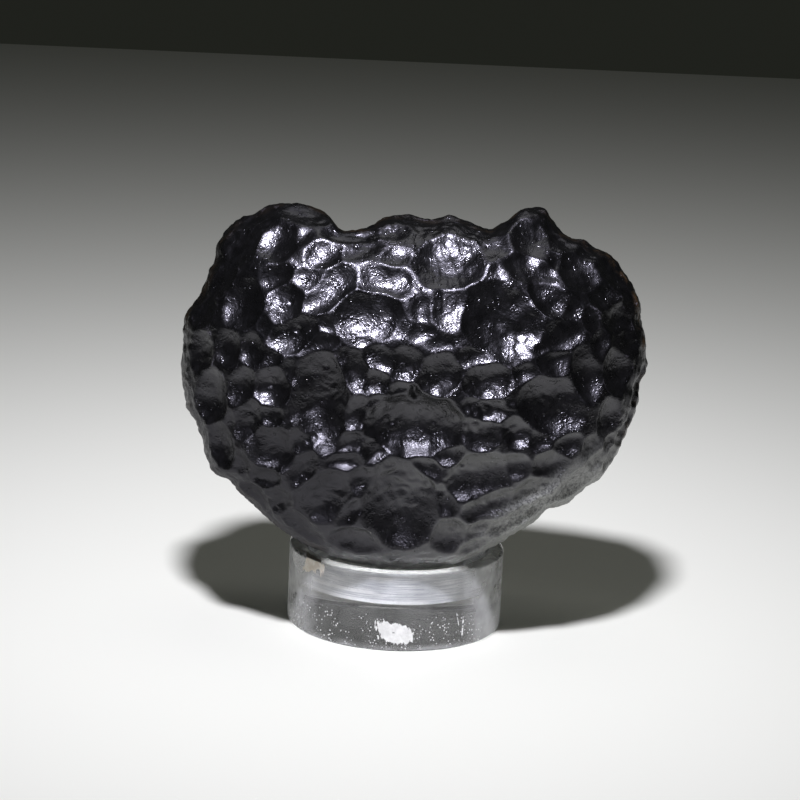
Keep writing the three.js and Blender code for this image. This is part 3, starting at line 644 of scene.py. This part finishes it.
def flow_places(points, owners):
    """Each hollow's own lengthwise and crosswise measure, for the lines that run along it."""
    places = np.zeros((len(points), 3))
    for index, (axes, origin) in enumerate(hollows):
        mine = owners == index
        local = (points[mine] @ axes.T - origin) / np.linalg.norm(axes, axis=1)
        turn = between(*FINE_LINE_TURN)
        places[mine, 0] = local[:, 0] * math.cos(turn) - local[:, 1] * math.sin(turn)
        places[mine, 1] = local[:, 0] * math.sin(turn) + local[:, 1] * math.cos(turn)
        places[mine, 2] = index
    return places


def make_stone(material):
    bm = bmesh.new()
    bmesh.ops.create_cube(bm, size=2.0)
    bmesh.ops.subdivide_edges(bm, edges=bm.edges[:], cuts=NET_CUTS, use_grid_fill=True)
    net = np.array([vertex.co[:] for vertex in bm.verts])
    net = unit(unit(np.tan(net * math.pi / 4)) * NET_STRETCH)
    net[:, 1] -= NET_TOWARDS_FACE
    net = unit(net)
    radii, gaps, owners = stone_surface(net)
    points = net * radii[:, None]
    points = points + net * relief(points)[:, None]
    for vertex, point in zip(bm.verts, points):
        vertex.co = point
    stand_up = Matrix.Rotation(-LAYOUT_LEAN, 4, "X") @ Matrix.Rotation(-STONE_TURN, 4, "Y")
    place = Matrix.Scale(MM, 4) @ Matrix.Translation(STONE_CENTRE) @ stand_up
    bmesh.ops.transform(bm, matrix=place, verts=bm.verts)
    bmesh.ops.recalc_face_normals(bm, faces=bm.faces)
    stone = smooth_piece("tektite_stone", bm, material)
    add_attribute(stone, "ridge", "FLOAT", np.exp(-np.maximum(gaps, 0) / RIDGE_WIDTH))
    add_attribute(stone, "rim", "FLOAT", rim_share(points))
    add_attribute(stone, "flow", "FLOAT_VECTOR", flow_places(points, owners))
    return stone


# ---- The stone's finish ----

# A name that ends in _NOISE holds (scale per millimetre, detail, roughness, distortion). Colours are
# (red, green, blue, 1). The other groups of two or four numbers are smooth steps: (where it starts,
# where it ends, value before, value after)

# Slow patches, fine grains, and the bloom: a duller, velvety lower part, whose downward faces get a grey
# painted reflection of the pale floor
PATCH_NOISE = (0.45, 3.0, 0.6)
GRAIN_NOISE = (3.6, 3.0, 0.7)
BLOOM_UNEVENNESS, BLOOM_HEIGHT = 12.0, (28.5, 40.0, 1.0, 0.0)
DOWNWARD = (-0.40, 0.0, 1.0, 0.0)

# Wear and painted highlight: ridges rubbed to a broken pale line, most on the upper half where the lamp
# catches them, with a few wider patches
WEAR_AND_GLINT_HEIGHT = (20.0, 34.0, 0.25, 1.0)
WORN_LINE, WORN_LINE_PATCHES = (0.55, 1.0), (0.42, 0.62, 0.0, 0.8)
BESIDE_RIDGE_POWER, BESIDE_RIDGE, BESIDE_RIDGE_PATCHES = 0.35, (0.55, 0.95), (0.56, 0.70)
WORN_GRAINS = (0.46, 0.60)
# Lower right rim: rubbed rougher, and given a pale painted reflection of the floor
RUBBED_RIM, RUBBED_GRAINS = (0.78, 0.92), (0.35, 0.62, 0.25, 1.0)
RUBBED_RIGHTWARD, RUBBED_HEIGHT = (6.0, 16.0), (18.0, 27.0, 1.0, 0.0)

# Relief, each size in millimetres: orange peel, fine wrinkles, lines that run along each hollow,
# pinholes, chips and worn grains
PEEL_NOISE, PEEL_SIZE = (2.3, 2.0, 0.55), 0.050
WRINKLE_NOISE, WRINKLE_SIZE, BLOOM_WRINKLE_SIZE = (6.5, 2.0, 0.6), 0.018, 0.016
LINE_STRETCH, LINE_NOISE, LINE_SIZE = (0.45, 3.4, 1.7), (1.0, 2.0, 0.55, 0.3), 0.030
LINE_PATCH_NOISE, LINE_PATCHES = (0.22, 1.0), (0.40, 0.62)
PINHOLE_SCALE, PINHOLE_EDGE, PINHOLE_SIZE = 1.1, (0.12, 0.22), 0.040
PINHOLE_PATCH_NOISE, PINHOLE_PATCHES = (0.5, 1.0), (0.45, 0.60, 1.0, 0.0)
CHIP_SCALE, CHIP_SIZE = 4.4, 0.050
CHIP_PATCH_NOISE, CHIP_PATCHES = (0.75, 3.0, 0.6), (0.55, 0.66)
WORN_GRAIN_SIZE = 0.035

# Colour: black, greyed by a painted reflection of the floor and by wear, with a painted highlight on ridges
# and a painted reflection on the lower right rim, and brown where the edge is thin: a painted glow of light
# through it
BLACKEST, BLACK = (0.0012, 0.0012, 0.0014, 1), (0.0040, 0.0039, 0.0041, 1)
# Painted glow through the thin edge: its brown, and where it lies
PAINTED_GLOW_BROWN, THIN_RIM, THIN_PATCHES = (0.050, 0.030, 0.012, 1), (0.955, 0.995), (0.45, 0.65)
THIN_RIGHTWARD, THIN_BACKWARD = (18.0, 25.0, 0.25, 1.0), (-1.0, 4.0, 1.0, 0.0)
# Painted reflection of the floor on the lower downward faces: its grey, where it grows to the right, and its
# patches
FLOOR_REFLECTION_GREY, FLOOR_REFLECTION_RIGHTWARD = (0.110, 0.112, 0.104, 1), (-8.0, 10.0)
FLOOR_REFLECTION_PATCHES = (0.30, 0.65, 0.45, 1.0)
# Pale ridge lines, partly wear and partly painted highlight, and the painted reflection on the lower right
# rim
WORN_AND_GLINT_GREY, RIM_REFLECTION_GREY = (0.105, 0.098, 0.118, 1), (0.320, 0.326, 0.308, 1)

# Gloss: the glass itself, and a thin glossy skin that is missing at the rim and on most ridges
GLOSS_NOISE, GLOSS_ROUGHNESS = (0.9, 2.0), (0.3, 0.7, 0.25, 0.34)
BLOOM_ROUGHNESS, MATT_ROUGHNESS, MATT_RIGHTWARD = 0.02, 0.30, (-14.0, 0.0, 1.0, 0.0)
DULL_RIDGE, WORN_ROUGHNESS = (0.5, 0.9), 0.52
POLISH_WEIGHT, POLISH_RIM = 0.50, (0.86, 0.97, 1.0, 0.15)
POLISH_RIDGE, POLISH_RIDGE_PATCHES = (0.15, 0.6), (0.45, 0.60, 0.9, 0.2)
POLISH_LOST_TO_BLOOM, POLISH_ROUGHNESS = 0.8, 0.09
GLASS_IOR, GLASS_GLINT_TINT = 1.53, (0.90, 0.88, 1.0, 1.0)


def glass_relief(tree, place, ridge, bloom, worn_grains):
    flow = attribute(tree, "flow", "Vector")
    drawn_out = node(tree, "VectorMath", {0: flow, 1: LINE_STRETCH}, operation="MULTIPLY").outputs[0]
    lines = noise_at(tree, drawn_out, *LINE_NOISE)
    lines_here = product(tree, ramp(tree, noise_at(tree, place, *LINE_PATCH_NOISE), *LINE_PATCHES),
        math_node(tree, "SUBTRACT", 1.0, ridge))
    pinholes = greatest(tree, ramp(tree, from_cells(tree, place, PINHOLE_SCALE), *PINHOLE_EDGE),
        ramp(tree, noise_at(tree, place, *PINHOLE_PATCH_NOISE), *PINHOLE_PATCHES))
    chips = product(tree, from_cells(tree, place, CHIP_SCALE),
        ramp(tree, noise_at(tree, place, *CHIP_PATCH_NOISE), *CHIP_PATCHES))
    wrinkle_size = add_share(tree, bloom, BLOOM_WRINKLE_SIZE, WRINKLE_SIZE)
    height = product(tree, noise_at(tree, place, *PEEL_NOISE), PEEL_SIZE)
    height = add_share(tree, noise_at(tree, place, *WRINKLE_NOISE), wrinkle_size, height)
    height = add_share(tree, product(tree, lines, lines_here), LINE_SIZE, height)
    height = add_share(tree, pinholes, PINHOLE_SIZE, height)
    height = add_share(tree, chips, CHIP_SIZE, height)
    return add_share(tree, worn_grains, WORN_GRAIN_SIZE, height)


def black_glass():
    material, tree, shader = new_material("black_natural_glass")
    place = millimetre_place(tree)
    rightward, backward, height_above = split(tree, place)
    facing_up = split(tree, node(tree, "TexCoord").outputs["Normal"])[2]
    ridge, rim = attribute(tree, "ridge"), attribute(tree, "rim")
    patchy = noise_at(tree, place, *PATCH_NOISE)
    grains = noise_at(tree, place, *GRAIN_NOISE)
    bloom = ramp(tree, add_share(tree, patchy, BLOOM_UNEVENNESS, height_above), *BLOOM_HEIGHT)
    lower_downward_faces = product(tree, bloom, ramp(tree, facing_up, *DOWNWARD))

    worn_line = product(tree, ramp(tree, ridge, *WORN_LINE), ramp(tree, patchy, *WORN_LINE_PATCHES))
    beside_ridge = ramp(tree, math_node(tree, "POWER", ridge, BESIDE_RIDGE_POWER), *BESIDE_RIDGE)
    worn_patch = product(tree, beside_ridge, ramp(tree, patchy, *BESIDE_RIDGE_PATCHES))
    # Pale ridge lines: partly wear, partly a painted highlight, strongest on the upper half
    worn_and_glint = product(tree, greatest(tree, worn_line, worn_patch), ramp(tree, height_above, *WEAR_AND_GLINT_HEIGHT),
        ramp(tree, grains, *WORN_GRAINS))
    # Lower right rim: rubbed rougher, and painted pale grey as a reflection of the floor seen at a grazing
    # angle
    rubbed_rim_and_reflection = product(tree, ramp(tree, rim, *RUBBED_RIM), ramp(tree, rightward, *RUBBED_RIGHTWARD),
        ramp(tree, height_above, *RUBBED_HEIGHT), ramp(tree, grains, *RUBBED_GRAINS))
    worn_or_rubbed = greatest(tree, worn_and_glint, rubbed_rim_and_reflection)

    # Painted glow: brown painted where the edge is thin, in place of light shining through it
    thin_edge_glow = product(tree, ramp(tree, rim, *THIN_RIM), ramp(tree, patchy, *THIN_PATCHES),
        ramp(tree, rightward, *THIN_RIGHTWARD), ramp(tree, backward, *THIN_BACKWARD))
    # Painted reflection: the pale floor's reflection painted as grey on the lower downward faces, most on the
    # right
    painted_floor_reflection = product(tree, ramp(tree, rightward, *FLOOR_REFLECTION_RIGHTWARD), lower_downward_faces,
        ramp(tree, patchy, *FLOOR_REFLECTION_PATCHES))
    colour = mix_colour(tree, thin_edge_glow, mix_colour(tree, patchy, BLACKEST, BLACK), PAINTED_GLOW_BROWN)
    colour = mix_colour(tree, painted_floor_reflection, colour, FLOOR_REFLECTION_GREY)
    colour = mix_colour(tree, worn_and_glint, colour, WORN_AND_GLINT_GREY)
    colour = mix_colour(tree, rubbed_rim_and_reflection, colour, RIM_REFLECTION_GREY)

    gloss = ramp(tree, noise_at(tree, place, *GLOSS_NOISE), *GLOSS_ROUGHNESS)
    gloss = add_share(tree, bloom, BLOOM_ROUGHNESS, gloss)
    matt_left = product(tree, ramp(tree, rightward, *MATT_RIGHTWARD), lower_downward_faces)
    gloss = add_share(tree, matt_left, MATT_ROUGHNESS, gloss)
    dulled = greatest(tree, worn_or_rubbed, ramp(tree, ridge, *DULL_RIDGE))
    broken_ridge = product(tree, ramp(tree, ridge, *POLISH_RIDGE),
        ramp(tree, patchy, *POLISH_RIDGE_PATCHES))
    polish = product(tree, add_share(tree, broken_ridge, -POLISH_WEIGHT, POLISH_WEIGHT),
        ramp(tree, rim, *POLISH_RIM), add_share(tree, bloom, -POLISH_LOST_TO_BLOOM, 1.0))

    bump = bump_of(tree, glass_relief(tree, place, ridge, bloom, product(tree, grains, worn_or_rubbed)))
    set_inputs(tree, shader, {
        "Base Color": colour,
        "Roughness": mix_value(tree, dulled, gloss, WORN_ROUGHNESS),
        "Normal": bump,
        "IOR": GLASS_IOR,
        "Specular Tint": GLASS_GLINT_TINT,
        "Coat Weight": polish,
        "Coat Roughness": POLISH_ROUGHNESS,
        "Coat Normal": bump,
    })
    return material


# ---- The stand's pieces ----


def turned_profile(bm, profile):
    """Spins a profile of (radius, height) pairs about the stand's axis."""
    corners = [bm.verts.new((radius, 0, height)) for radius, height in profile]
    edges = [bm.edges.new(pair) for pair in zip(corners, corners[1:])]
    bmesh.ops.spin(
        bm, geom=corners + edges, axis=(0, 0, 1), cent=(0, 0, 0), steps=STAND_SIDES, angle=2 * math.pi,
        use_merge=True,
    )
    bmesh.ops.remove_doubles(bm, verts=bm.verts, dist=MERGE_DISTANCE)
    bmesh.ops.recalc_face_normals(bm, faces=bm.faces)
    bmesh.ops.transform(bm, matrix=Matrix.Scale(MM, 4), verts=bm.verts)


def make_stand(material):
    profile = [
        (0, STAND_LIFT),
        (STAND_RADIUS - STAND_BEVEL, STAND_LIFT),
        (STAND_RADIUS, STAND_LIFT + STAND_BEVEL),
        (STAND_RADIUS, STAND_HEIGHT - STAND_BEVEL),
        (STAND_RADIUS - STAND_BEVEL, STAND_HEIGHT),
        (LIP_RADIUS + LIP_BEVEL, STAND_HEIGHT),
        (LIP_RADIUS, STAND_HEIGHT - LIP_BEVEL),
        (RECESS_RADIUS, RECESS_FLOOR),
        (0, RECESS_FLOOR),
    ]
    bm = bmesh.new()
    turned_profile(bm, profile)
    return smooth_piece("acrylic_stand", bm, material, SHARP_DEGREES)


def make_turning_marks(material):
    """The scratched skin that the lathe left on the recess, a hair inside the clear wall."""
    profile = [
        (RECESS_RADIUS - SKIN_GAP - FLOOR_SKIN_WIDTH, RECESS_FLOOR + SKIN_GAP),
        (RECESS_RADIUS - SKIN_GAP, RECESS_FLOOR + SKIN_GAP),
        (LIP_RADIUS - SKIN_GAP, STAND_HEIGHT - LIP_BEVEL),
        (LIP_RADIUS - SKIN_GAP + LIP_BEVEL, STAND_HEIGHT),
    ]
    bm = bmesh.new()
    turned_profile(bm, profile)
    return smooth_piece("turning_marks", bm, material, SHARP_DEGREES)


def make_wall_film(material):
    """Scratches, specks, smears and painted reflections on the outside of the stand, as a skin that is mostly
    clear.
    """
    wall = STAND_RADIUS + FILM_GAP
    profile = [
        (wall, STAND_LIFT + STAND_BEVEL),
        (wall, STAND_HEIGHT - STAND_BEVEL),
        (wall - STAND_BEVEL, STAND_HEIGHT + FILM_GAP),
        (LIP_RADIUS + LIP_BEVEL, STAND_HEIGHT + FILM_GAP),
    ]
    bm = bmesh.new()
    turned_profile(bm, profile)
    return smooth_piece("wall_film", bm, material)


def make_wall_patch(name, material, middle, half_size, lobes, nick):
    """A thin flake stuck to the stand's outer wall, folded over its top edge where it reaches it."""
    bm = bmesh.new()
    bmesh.ops.create_grid(bm, x_segments=PATCH_CUTS, y_segments=PATCH_CUTS, size=PATCH_REACH)
    nick_u, nick_v, nick_size = nick
    covers = []
    for vertex in bm.verts:
        u, v = vertex.co.x, vertex.co.y
        angle = math.atan2(v, u)
        stretch = 1 + sum(size * math.sin(count * angle + start) for count, size, start in lobes)
        in_nick = math.exp(-((u - nick_u) ** 2 + (v - nick_v) ** 2) / nick_size**2)
        outward = (u**PATCH_SQUARENESS + v**PATCH_SQUARENESS) ** (1 / PATCH_SQUARENESS)
        covers.append(1 - outward / stretch - in_nick)
        across = middle[0] + half_size[0] * u
        height = middle[1] + half_size[1] * v
        over_edge = max(height - STAND_HEIGHT, 0)
        radius = STAND_RADIUS + PATCH_GAP - over_edge
        forward = -math.sqrt(radius**2 - across**2)
        vertex.co = Vector((across, forward, height - over_edge + PATCH_GAP)) * MM
    flake = smooth_piece(name, bm, material)
    add_attribute(flake, "cover", "FLOAT", covers)
    return flake


# ---- The stand's finishes ----

# Clear acrylic: lightly scuffed outside, rough in the turned recess
ACRYLIC_COLOUR, ACRYLIC_IOR, ACRYLIC_SHADOW = (0.985, 0.99, 0.99, 1), 1.49, (0.86, 0.87, 0.87, 1)
NEAR_RECESS_WALL, NEAR_RECESS_FLOOR = 0.8, 0.1
TURNING_NOISE, TURNING_SIZE, RECESS_ROUGHNESS = (5.0, 3.0, 0.6), 0.05, 0.25
SCUFF_NOISE, SCUFF_ROUGHNESS = (0.35, 3.0, 0.6), (0.45, 0.7, 0.02, 0.07)

# Turned skin of the recess: level streaks, two bright lines (a lathe step, and a painted reflection at the
# floor's corner), and a lip that is nearly clear
STREAK_STRETCH, STREAK_NOISE, STREAK_EDGE = 0.03, (8.0, 3.0, 0.65), (0.36, 0.66)
BRIGHT_LINE_WIDTH, BRIGHT_LINE_FADE = (0.12, 0.28, 2.0, 0.0), 3.0
TURNED_GREY, TURNED_WHITE, TURNED_ROUGHNESS = (0.54, 0.56, 0.61, 1), (0.84, 0.84, 0.83, 1), 0.55
TURNED_COVER_GREY, TURNED_COVER_WHITE = 0.62, 0.88
COVER_NOISE, COVER_PATCHES = (0.35, 2.0), (0.3, 0.7, 0.75, 1.0)
LIP_COVER = (STAND_HEIGHT - LIP_BEVEL, STAND_HEIGHT - 0.3, 1.0, 0.4)

# Film on the outer wall: specks, smears at its sides, foot and top, and scratches. The heavier smears at the
# sides, foot and top are partly a painted reflection, standing in for light seen through the clear wall
SPECK_SCALE, SPECK_EDGE, SPECK_HEIGHT = 2.6, (0.14, 0.28, 1.0, 0.0), (3.4, 4.6, 1.0, 0.25)
SPECK_PATCH_NOISE, SPECK_PATCHES = (0.34, 2.0), (0.40, 0.54)
LEFT_SMEAR_AND_REFLECTION, RIGHT_SMEAR_AND_REFLECTION = (-11.6, -7.5, 1.2, 0.0), (6.5, 11.0, 0.0, 1.2)
FOOT_SMEAR_AND_REFLECTION, TOP_SMEAR_AND_REFLECTION = (0.15, 1.3, 1.0, 0.0), (STAND_HEIGHT - 0.3, STAND_HEIGHT - 0.1, 0.0, 0.35)
LEAST_SMEAR, SMEAR_COVER = 0.2, 0.42
SMEAR_NOISE, SMEAR_PATCHES = (0.22, 3.0, 0.6), (0.30, 0.62, 0.35, 1.0)
SCRATCH_CORE, SCRATCH_FADE = 0.4, 0.3
SCRATCH_NOISE, SCRATCH_BREAKS = (3.0, 2.0), (0.35, 0.6, 0.2, 1.0)
SPECK_WHITE, SMEAR_AND_REFLECTION_GREY, FILM_ROUGHNESS = (0.90, 0.90, 0.88, 1), (0.78, 0.79, 0.81, 1), 0.6

# Dried crust: mottled, grained, and ragged along slanted streaks at its edge
CRUST_SLANT, CRUST_STRETCH, CRUST_STREAK_NOISE = (0, 0.7, 0), (3.2, 1.0, 0.9), (1.0, 3.0, 0.6)
CRUST_RAGGEDNESS, CRUST_EDGE, CRUST_ROUGHNESS = 0.9, (0.0, 0.08), 0.7
CRUST_GRAIN_NOISE, CRUST_GRAIN_SIZE = (4.0, 3.0), 0.04
CRUST_MOTTLE_NOISE, CRUST_MOTTLE = (1.3, 3.0, 0.6), (0.35, 0.7)
WHITE_CRUST = (0.90, 0.90, 0.88, 1), (0.72, 0.72, 0.70, 1)
CREAM_CRUST = (0.80, 0.77, 0.70, 1), (0.62, 0.55, 0.46, 1)


def let_light_through(material, tree, shader, colour):
    """The lamp's light goes straight on through the piece."""
    clear = node(tree, "BsdfTransparent", {"Color": colour})
    shadow_ray = node(tree, "LightPath").outputs["Is Shadow Ray"]
    mixed = node(tree, "MixShader", {0: shadow_ray, 1: shader.outputs[0], 2: clear.outputs[0]})
    tree.links.new(mixed.outputs[0], tree.nodes["Material Output"].inputs["Surface"])


def clear_acrylic():
    material, tree, shader = new_material("clear_acrylic")
    place = millimetre_place(tree)
    x, y, z = split(tree, place)
    from_axis = math_node(tree, "SQRT", math_node(tree, "ADD", product(tree, x, x), product(tree, y, y)))
    in_recess = product(tree, math_node(tree, "LESS_THAN", from_axis, RECESS_RADIUS + NEAR_RECESS_WALL),
        math_node(tree, "GREATER_THAN", z, RECESS_FLOOR - NEAR_RECESS_FLOOR))
    turning = noise_at(tree, node(tree, "CombineXYZ", {0: from_axis, 2: z}).outputs[0], *TURNING_NOISE)
    scuffed = ramp(tree, noise_at(tree, place, *SCUFF_NOISE), *SCUFF_ROUGHNESS)
    set_inputs(tree, shader, {
        "Base Color": ACRYLIC_COLOUR,
        "Roughness": mix_value(tree, in_recess, scuffed, RECESS_ROUGHNESS),
        "Normal": bump_of(tree, product(tree, turning, in_recess, TURNING_SIZE)),
        "IOR": ACRYLIC_IOR,
        "Transmission Weight": 1.0,
    })
    let_light_through(material, tree, shader, ACRYLIC_SHADOW)
    return material


def turned_skin():
    material, tree, shader = new_material("turned_skin")
    place = millimetre_place(tree)
    x, _, z = split(tree, place)
    level = node(tree, "CombineXYZ", {0: product(tree, x, STREAK_STRETCH), 2: z}).outputs[0]
    streak = ramp(tree, noise_at(tree, level, *STREAK_NOISE), *STREAK_EDGE)
    # The lower bright line is a painted reflection of light at the recess floor's corner
    for height, last in LATHE_AND_CORNER_LINES:
        from_line = math_node(tree, "ABSOLUTE", math_node(tree, "SUBTRACT", z, height))
        bright_line = product(tree, ramp(tree, from_line, *BRIGHT_LINE_WIDTH),
            ramp(tree, x, last - BRIGHT_LINE_FADE, last, 1.0, 0.0))
        streak = greatest(tree, streak, bright_line)
    covered = product(tree, mix_value(tree, streak, TURNED_COVER_GREY, TURNED_COVER_WHITE),
        ramp(tree, noise_at(tree, place, *COVER_NOISE), *COVER_PATCHES), ramp(tree, z, *LIP_COVER))
    set_inputs(tree, shader, {
        "Base Color": mix_colour(tree, streak, TURNED_GREY, TURNED_WHITE),
        "Roughness": TURNED_ROUGHNESS,
        "Alpha": covered,
    })
    return material


def scratch_mask(tree, x, z, near_x, low_z, high_z, half_width, slant):
    """One upright scratch, soft at its ends."""
    middle = add_share(tree, math_node(tree, "SUBTRACT", z, low_z), slant, near_x)
    aside = math_node(tree, "ABSOLUTE", math_node(tree, "SUBTRACT", x, middle))
    return product(tree, ramp(tree, aside, SCRATCH_CORE * half_width, half_width, 1.0, 0.0),
        ramp(tree, z, low_z, low_z + SCRATCH_FADE), ramp(tree, z, high_z - SCRATCH_FADE, high_z, 1.0, 0.0))


def film_of_specks():
    material, tree, shader = new_material("film_of_specks")
    place = millimetre_place(tree)
    x, y, z = split(tree, place)
    specks = product(tree, ramp(tree, from_cells(tree, place, SPECK_SCALE), *SPECK_EDGE),
        ramp(tree, noise_at(tree, place, *SPECK_PATCH_NOISE), *SPECK_PATCHES),
        ramp(tree, z, *SPECK_HEIGHT))
    # Painted reflection: the smears are heavier at the sides, foot and top, where light comes through the
    # clear wall
    smear_and_reflection_places = greatest(tree, ramp(tree, x, *LEFT_SMEAR_AND_REFLECTION), ramp(tree, x, *RIGHT_SMEAR_AND_REFLECTION),
        ramp(tree, z, *FOOT_SMEAR_AND_REFLECTION), ramp(tree, z, *TOP_SMEAR_AND_REFLECTION), LEAST_SMEAR)
    smear_patches = ramp(tree, noise_at(tree, place, *SMEAR_NOISE), *SMEAR_PATCHES)
    smear_and_reflection = product(tree, smear_patches, smear_and_reflection_places, SMEAR_COVER)
    scratches = greatest(tree, *(scratch_mask(tree, x, z, *scratch) for scratch in SCRATCHES))
    scratches = product(tree, scratches, math_node(tree, "LESS_THAN", y, 0.0),
        ramp(tree, noise_at(tree, place, *SCRATCH_NOISE), *SCRATCH_BREAKS))
    set_inputs(tree, shader, {
        "Base Color": mix_colour(tree, smear_and_reflection, SPECK_WHITE, SMEAR_AND_REFLECTION_GREY),
        "Roughness": FILM_ROUGHNESS,
        "Alpha": greatest(tree, specks, smear_and_reflection, scratches),
    })
    return material


def dried_crust_group():
    """Node group for both kinds of residue: mottled colour, grain height and ragged cover."""
    tree = bpy.data.node_groups.new("dried_crust", "ShaderNodeTree")
    for name in ("Pale", "Dark"):
        tree.interface.new_socket(name, in_out="INPUT", socket_type="NodeSocketColor")
    tree.interface.new_socket("Colour", in_out="OUTPUT", socket_type="NodeSocketColor")
    for name in ("Height", "Cover"):
        tree.interface.new_socket(name, in_out="OUTPUT", socket_type="NodeSocketFloat")
    tints = tree.nodes.new("NodeGroupInput").outputs
    place = millimetre_place(tree)
    slant = {"Vector": place, "Rotation": CRUST_SLANT, "Scale": CRUST_STRETCH}
    slanted = node(tree, "Mapping", slant).outputs[0]
    streaks = math_node(tree, "SUBTRACT", noise_at(tree, slanted, *CRUST_STREAK_NOISE), 0.5)
    ragged = add_share(tree, streaks, CRUST_RAGGEDNESS, attribute(tree, "cover"))
    mottled = ramp(tree, noise_at(tree, place, *CRUST_MOTTLE_NOISE), *CRUST_MOTTLE)
    set_inputs(tree, tree.nodes.new("NodeGroupOutput"), {
        "Colour": mix_colour(tree, mottled, tints["Dark"], tints["Pale"]),
        "Height": product(tree, noise_at(tree, place, *CRUST_GRAIN_NOISE), CRUST_GRAIN_SIZE),
        "Cover": ramp(tree, ragged, *CRUST_EDGE),
    })
    return tree


def dried_residue(name, crust, pale, dark):
    material, tree, shader = new_material(name)
    parts = node(tree, "Group", node_tree=crust)
    set_inputs(tree, parts, {"Pale": pale, "Dark": dark})
    set_inputs(tree, shader, {
        "Base Color": parts.outputs["Colour"],
        "Roughness": CRUST_ROUGHNESS,
        "Normal": bump_of(tree, parts.outputs["Height"]),
        "Alpha": parts.outputs["Cover"],
    })
    return material


# ---- Assembly ----

stone = make_stone(black_glass())
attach(stone, "root")
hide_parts("tektite")

crust = dried_crust_group()
stand_pieces = [
    make_stand(clear_acrylic()),
    make_turning_marks(turned_skin()),
    make_wall_film(film_of_specks()),
    make_wall_patch("glue_residue", dried_residue("white_residue", crust, *WHITE_CRUST), *RESIDUE),
    make_wall_patch("rim_flake", dried_residue("cream_residue", crust, *CREAM_CRUST), *RIM_FLAKE),
]
for piece in stand_pieces:
    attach(piece, "root")
    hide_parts("display_stand")


# ---- Floor, light and camera ----


def pale_table():
    material, tree, shader = new_material("pale_table")
    set_inputs(tree, shader, {"Base Color": TABLE_COLOUR, "Roughness": TABLE_ROUGHNESS})
    return material


bm = bmesh.new()
bmesh.ops.create_grid(bm, x_segments=1, y_segments=1, size=FLOOR_SIZE * MM)
floor = smooth_piece("floor", bm, pale_table())


def add_lamp(name, place, aim, diameter, power, spread, colour):
    lamp = bpy.data.lights.new(name, "AREA")
    lamp.shape = "DISK"
    lamp.size = diameter * MM
    lamp.energy = power
    lamp.spread = math.radians(spread)
    lamp.color = colour
    holder = bpy.data.objects.new(name, lamp)
    holder.location = Vector(place) * MM
    holder.rotation_euler = (Vector(aim) - Vector(place)).to_track_quat("-Z", "Y").to_euler()
    bpy.context.scene.collection.objects.link(holder)


add_lamp("key_lamp", KEY_PLACE, KEY_AIM, KEY_DIAMETER, KEY_POWER, KEY_SPREAD, KEY_COLOUR)
add_lamp("soft_back_light", BACK_PLACE, BACK_AIM, BACK_DIAMETER, BACK_POWER, BACK_SPREAD, BACK_COLOUR)

world = bpy.data.worlds.new("dim_room")
world.use_nodes = True
world.node_tree.nodes["Background"].inputs["Color"].default_value = (*ROOM_COLOUR, 1)
bpy.context.scene.world = world

camera = bpy.data.cameras.new("camera")
camera.sensor_width = SENSOR
camera.lens = LENS
camera_holder = bpy.data.objects.new("camera", camera)
toward_camera = Vector((0, -math.cos(LAYOUT_LEAN), math.sin(LAYOUT_LEAN)))
camera_holder.location = (Vector(CAMERA_AIM) + toward_camera * CAMERA_DISTANCE) * MM
camera_holder.rotation_mode = "QUATERNION"
camera_roll = Quaternion((0, 0, 1), STONE_TURN)
camera_holder.rotation_quaternion = (-toward_camera).to_track_quat("-Z", "Y") @ camera_roll
bpy.context.scene.collection.objects.link(camera_holder)
bpy.context.scene.camera = camera_holder
bpy.context.scene.view_settings.view_transform = "Standard"
